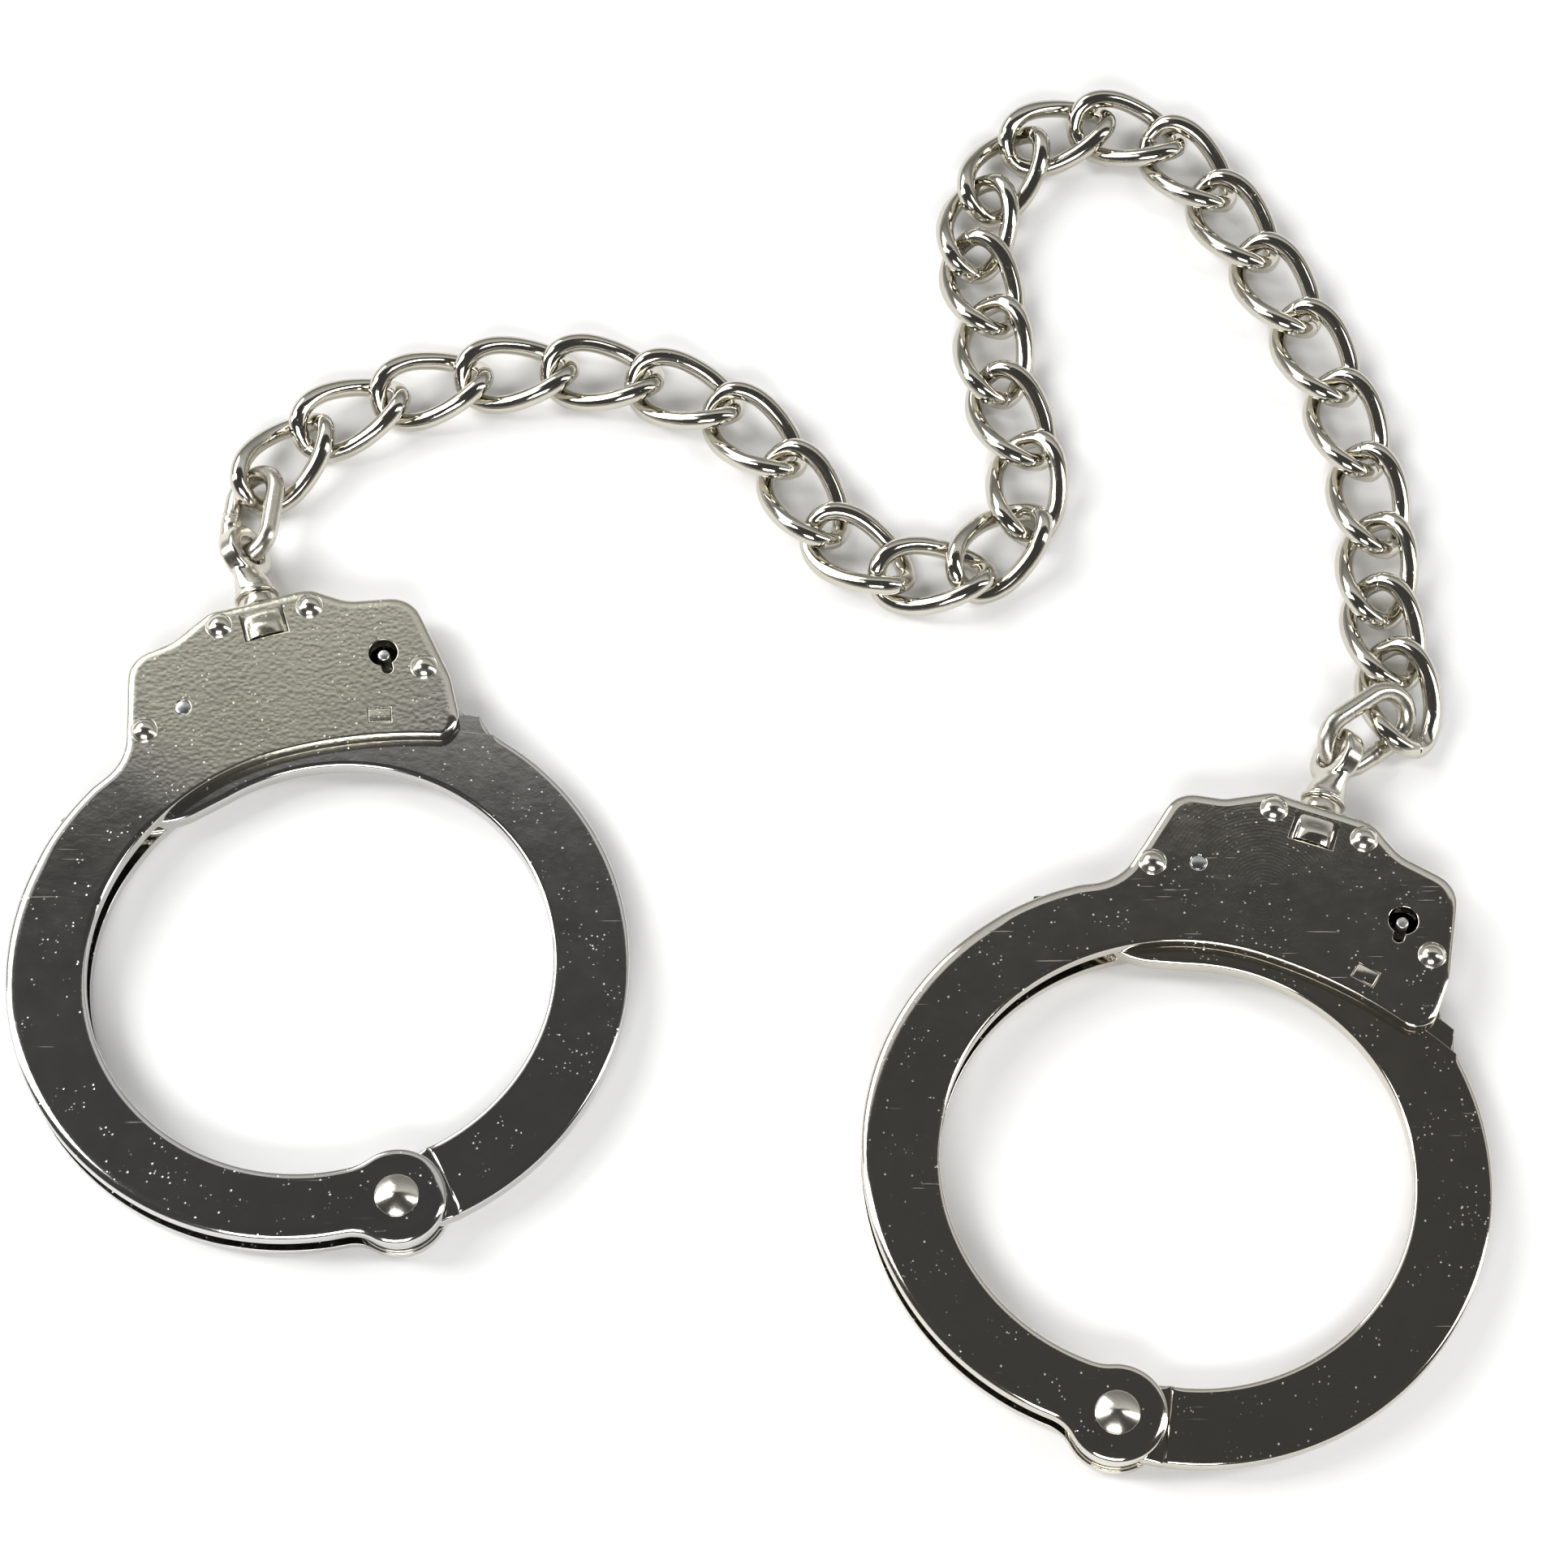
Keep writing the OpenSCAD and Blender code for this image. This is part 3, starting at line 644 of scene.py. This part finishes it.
def make_bulge(side):
    """The lanced tab over the swivel head: flush at its root and pressed up into a hood at its cut edge."""
    half, y0, y1 = WINDOW
    nu, nv = 44, 32
    thick, sunk, edge = 0.7, 0.02, 0.09

    def height(u, v):
        hood = max(0.0, 1 - (abs(u) / 0.86) ** 2.2) ** 0.8
        rise = smooth_step(v, 0.92, 0.3) if v > 0.3 else 1.0 - 0.12 * (1 - v / 0.3) ** 2
        dip = 0.32 * smooth_step(abs(u), 0.62, 0.95) * smooth_step(v, 0.95, 0.2)
        return hood * rise - dip

    bm = bmesh.new()
    top, low = [], []
    for i in range(nu + 1):
        u = -1 + 2 * i / nu
        row_t, row_l = [], []
        for k in range(nv + 1):
            v = k / nv
            x, y = SWIVEL_X + u * half, y0 + v * (y1 - y0)
            z = Z_TOP - sunk + height(u, v)
            row_t.append(bm.verts.new((x, y, z)))
            row_l.append(bm.verts.new((x, y, z - thick)))
        top.append(row_t)
        low.append(row_l)
    for i in range(nu):
        for k in range(nv):
            bm.faces.new((top[i][k], top[i + 1][k], top[i + 1][k + 1], top[i][k + 1]))
            bm.faces.new((low[i][k], low[i][k + 1], low[i + 1][k + 1], low[i + 1][k]))
    for i in range(nu):
        bm.faces.new((low[i][0], low[i + 1][0], top[i + 1][0], top[i][0]))
        bm.faces.new((top[i][nv], top[i + 1][nv], low[i + 1][nv], low[i][nv]))
    for k in range(nv):
        bm.faces.new((top[0][k], top[0][k + 1], low[0][k + 1], low[0][k]))
        bm.faces.new((low[nu][k], low[nu][k + 1], top[nu][k + 1], top[nu][k]))
    sharp = [e for e in bm.edges if e.calc_face_angle(0) > math.radians(50)]
    free = [e for e in sharp if min(v.co.y for v in e.verts) < y1 - 0.01]
    bmesh.ops.bevel(bm, geom=free, offset=edge, segments=2, affect="EDGES", profile=0.6)
    finish_mesh(f"{side}_hood", bm, CUFF[side], MATS[side + "_cheek"], side + "_case", (), 50.0)


def dome(radius, height, lip, steps=14):
    """Half profile of a domed rivet head that stands in a thin pressed lip."""
    points = [(radius + lip, 0.0), (radius + lip * 0.8, 0.04), (radius + lip * 0.4, 0.06), (radius + 0.03, 0.02)]
    ball = (radius * radius + height * height) / (2 * height)
    start = math.asin(min(1.0, radius / ball))
    for k in range(steps + 1):
        a = start * (1 - k / steps)
        points.append((ball * math.sin(a), max(0.05, height - ball + ball * math.cos(a))))
    points[-1] = (0.0, height)
    return points


def cone_dome(radius, height, steps=18):
    """Half profile of the hinge rivet: low cone with a rounded tip and a short upright rim."""
    points = [(radius - 0.1, -0.05), (radius, 0.0), (radius, 0.16), (radius - 0.07, 0.27)]
    for k in range(1, steps + 1):
        s = 1 - k / steps
        points.append(((radius - 0.07) * s, 0.27 + (height - 0.27) * (1 - s**1.55)))
    return points


def back_head(radius, height):
    """Half profile of a rivet head set flush in the back plate, with a rounded rim."""
    return [(0.0, 0.0), (radius - 0.35, 0.0), (radius - 0.1, 0.12), (radius, 0.35), (radius, height), (0.0, height)]


def make_rivets(side):
    """The four case rivets, and the larger hinge rivet with its shank."""
    bm = bmesh.new()
    for x, y in RIVETS:
        lathe(bm, dome(HEAD_RADIUS, HEAD_HEIGHT, HEAD_LIP), at(x, y, Z_TOP), 48)
        lathe(bm, back_head(HEAD_RADIUS, Z_BACK), at(x, y), 48)
    finish_mesh(
        f"{side}_rivet_heads", bm, CUFF[side], MATS["rivet"], side + "_case",
        [side + "_case_rivets"], 55.0,
    )
    bm = bmesh.new()
    lathe(bm, cone_dome(HINGE_RADIUS, HINGE_HEIGHT), at(*HINGE, Z_TOP), 72)
    lathe(bm, back_head(HINGE_BACK_RADIUS, Z_BACK), at(*HINGE), 64)
    lathe(bm, [(HINGE_SHANK_RADIUS, Z_BACK), (HINGE_SHANK_RADIUS, Z_TOP)], at(*HINGE), 48)
    finish_mesh(
        f"{side}_hinge_rivet", bm, CUFF[side], MATS["rivet"], side + "_case",
        [side + "_pivot_rivet"], 55.0,
    )


def pin_profile(radius, low, high, chamfer):
    """Half profile of a pin with broken edges."""
    return [
        (0.0, low), (radius - chamfer, low), (radius, low + chamfer), (radius, high - chamfer),
        (radius - 0.4 * chamfer, high - 0.3 * chamfer), (radius - chamfer, high), (0.0, high),
    ]


def make_pins(side):
    """The pawl's pin, the key post in the keyhole, and the pads staked through the cheeks."""
    bm = bmesh.new()
    lathe(bm, pin_profile(PIN_RADIUS, Z_BACK, Z_TOP - 0.02, 0.14), at(*PAWL_PIN), 40)
    finish_mesh(
        f"{side}_pawl_rivet", bm, CUFF[side], MATS["pin"], side + "_case", [side + "_pawl_pin"], 50.0
    )
    bm = bmesh.new()
    lathe(bm, pin_profile(POST_RADIUS, Z_GAP, Z_TOP - POST_SUNK, 0.24), at(*KEY_POST), 40)
    finish_mesh(
        f"{side}_key_pin", bm, CUFF[side], MATS["post"], side + "_case", [side + "_key_post"], 50.0
    )
    turn = Matrix.Rotation(math.radians(PAD_TURN), 4, "Z")
    bm = bmesh.new()
    for low, high in ((Z_BACK + 0.03, Z_GAP + 0.2), (Z_FRONT - 0.2, Z_TOP - 0.03)):
        made = bmesh.ops.create_cube(bm, size=1.0)["verts"]
        size = Matrix.Diagonal((PAD_LENGTH - PAD_GAP, PAD_WIDTH - PAD_GAP, high - low, 1.0))
        move = at(*HINGE) @ turn @ at(PAD_REACH, 0, (low + high) / 2) @ size
        bmesh.ops.transform(bm, matrix=move, verts=made)
    bmesh.ops.bevel(bm, geom=list(bm.edges), offset=0.09, segments=3, affect="EDGES", profile=0.6)
    finish_mesh(
        f"{side}_staked_pads", bm, CUFF[side], MATS[side + "_cheek"], side + "_case",
        [side + "_guide_pads"], 50.0,
    )


def straight_score(loop):
    """Draws the step beside the hinge tongue straight across the bow, as its score line is."""
    near = [i for i, p in enumerate(loop) if abs(from_hinge(p) - TONGUE_EDGE) < 0.08]
    if len(near) < 3:
        return loop
    shift = next((i for i in near if (i - 1) % len(loop) not in near), near[0])
    loop = loop[shift:] + loop[:shift]
    first, last = loop[0], loop[len(near) - 1]
    count = len(near) - 1
    return [first.lerp(last, i / count) if i <= count else p for i, p in enumerate(loop)]


def without_first_teeth(loop):
    """Runs the rim plainly into the outer edge beside the case, where the first two teeth would show."""
    out = []
    for p in loop:
        arm = p - Vector(HINGE)
        turn = math.degrees(math.atan2(arm.y, arm.x))
        if PLAIN_FROM < turn < PLAIN_TO and arm.length > TOOTH_ROOT - 0.4:
            p = Vector(HINGE) + arm.normalized() * min(TOOTH_TIP, PLAIN_START + PLAIN_SLOPE * (turn - PLAIN_FROM))
        out.append(p)
    return out


def make_bow(side):
    """Three levels of one forging: the toothed rim, the terrace and tongue, and the full blade."""
    place = CUFF[side]
    node = side + "_bow"
    bm = bmesh.new()
    for half in BOW_HALVES:
        loops = []
        for ring in cap_loops(node, Z_MID + half, place):
            if abs(area(ring)) < 0.5:
                continue
            if half == BLADE_HALF:
                ring = straight_score(ring)
            loops.append(refine(without_first_teeth(ring), 1))
        outer = [ring for ring in loops if area(ring) > 0]
        inner = [ring for ring in loops if area(ring) < 0]
        for body in outer:
            own = [hole for hole in inner if inside(hole[0], body)]
            plate(bm, [body] + own, Z_MID - half, Z_MID + half, bow_roll, bow_roll, 5)
    finish_mesh(f"{side}_bow_blade", bm, place, MATS[side + "_bow"], side + "_bow_arm", [node], 50.0)


def inside(point, loop):
    """Whether a point lies within an outline."""
    hit = False
    for a, b in zip(loop, loop[1:] + loop[:1]):
        if (a.y > point.y) != (b.y > point.y) and point.x < (b.x - a.x) * (point.y - a.y) / (b.y - a.y) + a.x:
            hit = not hit
    return hit


UPRIGHT = Matrix.Rotation(-math.pi / 2, 4, "X")
EYE_LEAN = 55
MELT_CELL = 0.14
# section of the eye's ring: place, radius and first angle of each rounded corner
EYE_CORNERS = ((4.1, 0.95, 0.8, 0), (3.0, 1.35, 0.4, 90), (3.0, -1.35, 0.4, 180), (4.1, -0.95, 0.8, 270))
# half profiles as (radius, place along the cuff): the eye's neck, the bolt with its head, and its collar
NECK_ROUND, NECK_FLAT = 67.6, 71.6
NECK = [
    (0.0, 66.9), (3.4, 66.9), (3.45, 67.2), (3.3, NECK_ROUND), (3.3, 68.4), (3.4, 69.4), (3.6, 70.6), (3.7, 71.7),
    (0.0, 71.9),
]
BOLT = [
    (0.0, 57.5), (2.7, 57.5), (3.0, 57.8), (3.0, 59.6), (2.7, 59.9), (1.7, 60.0), (1.7, 66.3),
    (3.45, 66.3), (3.68, 66.4), (3.74, 66.62), (3.7, 66.9), (3.5, 67.05), (3.2, 67.08), (0.0, 67.08),
]
COLLAR = [(1.76, 64.2), (3.1, 64.2), (3.3, 64.35), (3.3, 66.0), (3.14, 66.2), (1.76, 66.2), (1.76, 64.2)]


def make_swivel(side):
    """Forged eye bolt: the melted eye and neck, on a flange, shank and head turned in one, with a spacer."""
    place = CUFF[side]
    along = at(SWIVEL_X, 0, Z_MID) @ UPRIGHT
    lean = math.radians(EYE_LEAN if side == "left" else -EYE_LEAN)
    eye = at(SWIVEL_X, EYE_Y, Z_MID) @ Matrix.Rotation(lean, 4, "Y")
    bm = bmesh.new()
    ring = []
    for x, z, radius, start in EYE_CORNERS:
        turns = [math.radians(start + 15 * k) for k in range(7)]
        ring += [(x + radius * math.cos(a), z + radius * math.sin(a)) for a in turns]
    lathe(bm, ring + ring[:1], eye, 72)
    rings = lathe(bm, NECK, eye @ UPRIGHT @ at(0, 0, -EYE_Y), 64)
    flat_way = (eye.to_3x3() @ Vector((0, 0, 1))).normalized()
    for ring, (_, y) in zip(rings, NECK):
        thin = 1.0 - 0.5 * smooth_step(y, NECK_ROUND, NECK_FLAT)
        for v in ring:
            off = (v.co - eye.translation).dot(flat_way)
            v.co -= flat_way * off * (1 - thin)
    bmesh.ops.remove_doubles(bm, verts=bm.verts, dist=1e-5)
    bmesh.ops.recalc_face_normals(bm, faces=bm.faces)
    bm = melted(bm)
    lathe(bm, BOLT, along, 64)
    finish_mesh(
        f"{side}_eye_bolt", bm, place, MATS["swivel"], side + "_swivel_eye",
        [side + "_swivel"], 60.0,
    )
    bm = bmesh.new()
    lathe(bm, COLLAR, along, 64)
    finish_mesh(
        f"{side}_spacer", bm, place, MATS["swivel"], side + "_swivel_eye",
        [side + "_swivel_collar"], 45.0,
    )


def melted(bm):
    """A shape in millimetres, run together where its parts cross, as a forging is, and smoothed."""
    bm.transform(Matrix.Scale(MM, 4))
    mesh = bpy.data.meshes.new("eye")
    bm.to_mesh(mesh)
    bm.free()
    temp = bpy.data.objects.new("eye", mesh)
    bpy.context.scene.collection.objects.link(temp)
    melt = temp.modifiers.new("melt", "REMESH")
    melt.mode = "VOXEL"
    melt.voxel_size = MELT_CELL * MM
    one = bpy.data.meshes.new_from_object(temp.evaluated_get(bpy.context.evaluated_depsgraph_get()))
    bpy.data.objects.remove(temp)
    bm = bmesh.new()
    bm.from_mesh(one)
    bpy.data.meshes.remove(one)
    bpy.data.meshes.remove(mesh)
    bm.transform(Matrix.Scale(1 / MM, 4))
    for _ in range(5):
        bmesh.ops.smooth_vert(bm, verts=bm.verts, factor=0.5, use_axis_x=True, use_axis_y=True, use_axis_z=True)
    return bm


for side in ("left", "right"):
    make_cheek(side, "front")
    make_cheek(side, "back")
    make_bulge(side)
    make_rivets(side)
    make_pins(side)
    make_bow(side)
    make_swivel(side)
    for part in ("frame_left", "frame_right", "pawl", "lock_bolt", "pawl_spring"):
        cad = frame["nodes"][f"{side}_{part}"]
        cad.data.materials.clear()
        cad.data.materials.append(MATS["spring" if part == "pawl_spring" else "steel"])


# ---------------------------------------------------------------- chain
def wire(bm, centre, radius, sides):
    """Sweeps round wire along a closed centreline. radius(i, k) is the wire's radius at ring i, side k."""
    count = len(centre)
    rings = []
    for i, c in enumerate(centre):
        d = (centre[(i + 1) % count] - centre[i - 1]).normalized()
        out = (c - d * c.dot(d)).normalized()
        across = d.cross(out)
        ring = []
        for k in range(sides):
            a = TAU * k / sides
            ring.append(bm.verts.new(c + (out * math.cos(a) + across * math.sin(a)) * radius(i, k)))
        rings.append(ring)
    for i in range(count):
        a, b = rings[i], rings[(i + 1) % count]
        for k in range(sides):
            j = (k + 1) % sides
            bm.faces.new((a[k], a[j], b[j], b[k]))


LINKS = 28
LINK_LENGTH, LINK_WIDTH, LINK_TWIST, WIRE = 18.3, 10.8, 40.0, 3.2
# exponent of the curve between oval and rectangle that the link follows
SQUARENESS = 0.8
# where a link is butted and how far the seam leans, in degrees of turn round it
SEAM_AT, SEAM_LEAN = 12.0, 5.0
# the drawn wire is round and the CAD's has flats, so it is drawn this much thinner to keep clear
WIRE_CLEAR = 0.035
WIRE_SIDES, END_SIDES = 22, 24


def link_point(t):
    """Point of the twisted link's centreline at a turn of t degrees."""
    c, s = math.cos(math.radians(t)), math.sin(math.radians(t))
    x = LINK_LENGTH / 2 * math.copysign(abs(c) ** SQUARENESS, c)
    y = LINK_WIDTH / 2 * math.copysign(abs(s) ** SQUARENESS, s)
    w = math.radians(-LINK_TWIST * x / (LINK_LENGTH / 2))
    return Vector((x, y * math.cos(w), y * math.sin(w)))


def link_turns():
    """Even steps round the link, closer together where its ends are butted."""
    coarse, fine, reach = 3.5, 0.7, 8.4
    turns = [k * coarse for k in range(103) if abs(k * coarse - SEAM_AT) > 9]
    turns += [SEAM_AT - reach + fine * k for k in range(25)]
    return sorted(t for t in turns if t < 358)


def pose_of(node):
    """Place of a chain link from its CAD node: its middle and the three axes that its shape is symmetric about."""
    bm = bmesh.new()
    bm.from_mesh(frame["nodes"][node].data)
    bmesh.ops.remove_doubles(bm, verts=bm.verts, dist=1e-6)
    points = [v.co.copy() for v in bm.verts]
    bm.free()
    middle = sum(points, Vector()) / len(points)
    spread = Matrix(((0,) * 3,) * 3)
    for p in points:
        q = p - middle
        for i in range(3):
            for k in range(3):
                spread[i][k] += q[i] * q[k]
    x = axis_of(spread, Vector((0.8, 0.6, 0.01)))
    value = (spread @ x).length
    rest = spread.copy()
    for i in range(3):
        for k in range(3):
            rest[i][k] -= value * x[i] * x[k]
    y = axis_of(rest, x.cross(Vector((0, 0, 1))))
    y = (y - x * y.dot(x)).normalized()
    z = x.cross(y)
    return Matrix.Translation(middle) @ Matrix((x, y, z)).transposed().to_4x4() @ Matrix.Scale(MM, 4)


def axis_of(matrix, guess):
    """The direction along which a spread of points is longest."""
    for _ in range(200):
        guess = (matrix @ guess).normalized()
    return guess


TURNS = link_turns()
LINK_LINE = [link_point(t) for t in TURNS]


def make_link(number):
    """A twisted wire link with a butted seam. Every second link lies turned over."""
    node = f"link_{number:02d}"
    body = f"chain_{number:02d}"

    def radius(i, k):
        lean = SEAM_LEAN * math.cos(TAU * k / WIRE_SIDES + 0.6 * number)
        groove = math.exp(-(((TURNS[i] - SEAM_AT - lean) / 0.75) ** 2))
        wave = noise.noise(Vector((LINK_LINE[i].x * 0.35, number * 3.1, k * 0.3)))
        return WIRE / 2 * (1 - 0.09 * groove + 0.006 * wave) - WIRE_CLEAR

    bm = bmesh.new()
    wire(bm, LINK_LINE, radius, WIRE_SIDES)
    if number % 2 == 0:
        bm.transform(Matrix.Rotation(math.pi, 4, "Y"))
    finish_mesh(f"chain_link_{number:02d}", bm, pose_of(node), MATS["chain"], body, [node], 70.0)


END_LENGTH, END_WIDTH, END_RADIUS = 16.0, 8.9, 1.58
# the two end links as they lie in the CAD: body, weld side, middle, then yaw, pitch and roll in degrees
END_LINKS = {
    "end_link_a": ("ring_a", 1, (-82.0, 39.0, 4.4), 85, 3, -34),
    "end_link_b": ("ring_b", -1, (101.0, -0.5, 5.1), 36, 4, 41),
}


def end_line(count=150):
    """Closed centreline of an end link: two half circles and two straights."""
    half = (END_LENGTH - END_WIDTH) / 2
    r = END_WIDTH / 2
    bend = math.pi * r
    total = 2 * bend + 4 * half
    points = []
    for i in range(count):
        s = total * i / count
        if s < bend:
            a = s / r - math.pi / 2
            points.append(Vector((half + r * math.cos(a), r * math.sin(a), 0)))
        elif s < bend + 2 * half:
            points.append(Vector((half - (s - bend), r, 0)))
        elif s < 2 * bend + 2 * half:
            a = (s - bend - 2 * half) / r + math.pi / 2
            points.append(Vector((-half + r * math.cos(a), r * math.sin(a), 0)))
        else:
            points.append(Vector((-half + (s - 2 * bend - 2 * half), -r, 0)))
    return points


def make_end_link(node):
    """A plain end link with a lumpy weld bead on one of its straights."""
    body, side, middle, yaw, pitch, roll = END_LINKS[node]
    line = end_line()

    def radius(i, k):
        p = line[i]
        if p.y * side < END_WIDTH / 2 - 1.0:
            return END_RADIUS
        near = math.exp(-((p.x / 1.45) ** 4))
        a = TAU * k / END_SIDES
        lump = noise.noise(Vector((p.x * 1.3, 0.75 * math.cos(a), 0.75 * math.sin(a) + side)))
        crease = math.exp(-(((p.x - 0.7) / 0.16) ** 2)) + math.exp(-(((p.x + 0.85) / 0.18) ** 2))
        return END_RADIUS + near * (0.13 + 0.22 * lump) - 0.1 * crease * near

    bm = bmesh.new()
    wire(bm, line, radius, END_SIDES)
    turn = Matrix.Rotation(math.radians(yaw), 4, "Z") @ Matrix.Rotation(math.radians(pitch), 4, "Y")
    place = Matrix.Translation(Vector(middle) * MM) @ turn @ Matrix.Rotation(math.radians(roll), 4, "X")
    finish_mesh(
        node.replace("end_link", "end_ring"), bm, place @ Matrix.Scale(MM, 4), MATS["end"], body,
        [node], 70.0,
    )


for number in range(1, LINKS + 1):
    make_link(number)
for name in END_LINKS:
    make_end_link(name)


# ---------------------------------------------------------------- stage, light and camera
FLOOR_HALF, FLOOR_PARTS, FLOOR_DROP = 3.0, 24, 0.00002


def make_floor():
    bm = bmesh.new()
    bmesh.ops.create_grid(bm, x_segments=FLOOR_PARTS, y_segments=FLOOR_PARTS, size=FLOOR_HALF)
    mesh = bpy.data.meshes.new("paper_sweep")
    bm.to_mesh(mesh)
    bm.free()
    mesh.materials.append(MATS["paper"])
    floor = bpy.data.objects.new("paper_sweep", mesh)
    floor.location.z = -FLOOR_DROP
    bpy.context.scene.collection.objects.link(floor)


def softbox(name, place, width, height, power):
    """A rectangular lamp turned to the middle of the floor."""
    light = bpy.data.lights.new(name, "AREA")
    light.shape = "RECTANGLE"
    light.size = width
    light.size_y = height
    light.energy = power
    obj = bpy.data.objects.new(name, light)
    obj.location = place
    obj.rotation_euler = (-Vector(place)).to_track_quat("-Z", "Y").to_euler()
    bpy.context.scene.collection.objects.link(obj)


CEILING, WALLS = rgba(0.066, 0.065, 0.063), rgba(0.93, 0.93, 0.92)
# directions are given as y over z, because each flat plate mirrors one such direction to the camera
WALL_FROM, WALL_TO = 0.456, 0.514
WALL_FADE_FROM, WALL_FADE_TO, WALL_FADED = 0.6, 1.6, 0.5
WALL_LEVEL, SIDE_LEVEL = 0.8, 0.6


def make_world():
    """A dark ceiling over a bright white studio: the flat plates mirror the ceiling and the round wire the walls."""
    world = bpy.data.worlds.new("studio")
    bpy.context.scene.world = world
    world.use_nodes = True
    tree = world.node_tree
    n = Nodes(tree)
    way = tree.nodes.new("ShaderNodeSeparateXYZ")
    tree.links.new(tree.nodes["Texture Coordinate"].outputs["Generated"], way.inputs[0])
    _, y, z = way.outputs
    # the wall behind the far edge of the floor is what the left case mirrors from the front
    toward = n.math("DIVIDE", y, n.math("MAXIMUM", z, 0.05))
    wall = n.span(toward, WALL_FROM, WALL_TO, 0.0, WALL_LEVEL)
    wall = n.math("MULTIPLY", wall, n.span(toward, WALL_FADE_FROM, WALL_FADE_TO, 1.0, WALL_FADED))
    wall = n.math("MULTIPLY", wall, n.span(z, 0.1, 0.5))
    sides = n.span(z, 0.36, 0.04, 0.0, SIDE_LEVEL)
    back = tree.nodes["Background"]
    tree.links.new(n.mix(n.math("MAXIMUM", wall, sides), CEILING, WALLS), back.inputs["Color"])
    back.inputs["Strength"].default_value = 1.0


make_floor()
make_world()
# place, width, height and power of each lamp, in metres and watts
softbox("key_left", (-0.95, 0.1, 0.7), 0.3, 1.1, 9.0)
softbox("fill_right", (0.95, -0.05, 0.6), 0.22, 1.0, 5.0)
softbox("front", (-0.12, -0.95, 0.85), 0.75, 0.4, 10.0)
softbox("back_left", (-0.95, 0.85, 0.95), 1.2, 0.7, 10.0)

CAMERA_TILT = 24.5
CAMERA_SPOT = (0.0065, -0.2813, 0.5999)
CAMERA_LENS, CAMERA_SENSOR = 93.17, 36

camera_data = bpy.data.cameras.new("camera")
camera_data.lens = CAMERA_LENS
camera_data.sensor_width = CAMERA_SENSOR
camera = bpy.data.objects.new("camera", camera_data)
camera.location = CAMERA_SPOT
camera.rotation_euler = (math.radians(CAMERA_TILT), 0, 0)
bpy.context.scene.collection.objects.link(camera)
bpy.context.scene.camera = camera
bpy.context.scene.view_settings.view_transform = "Standard"
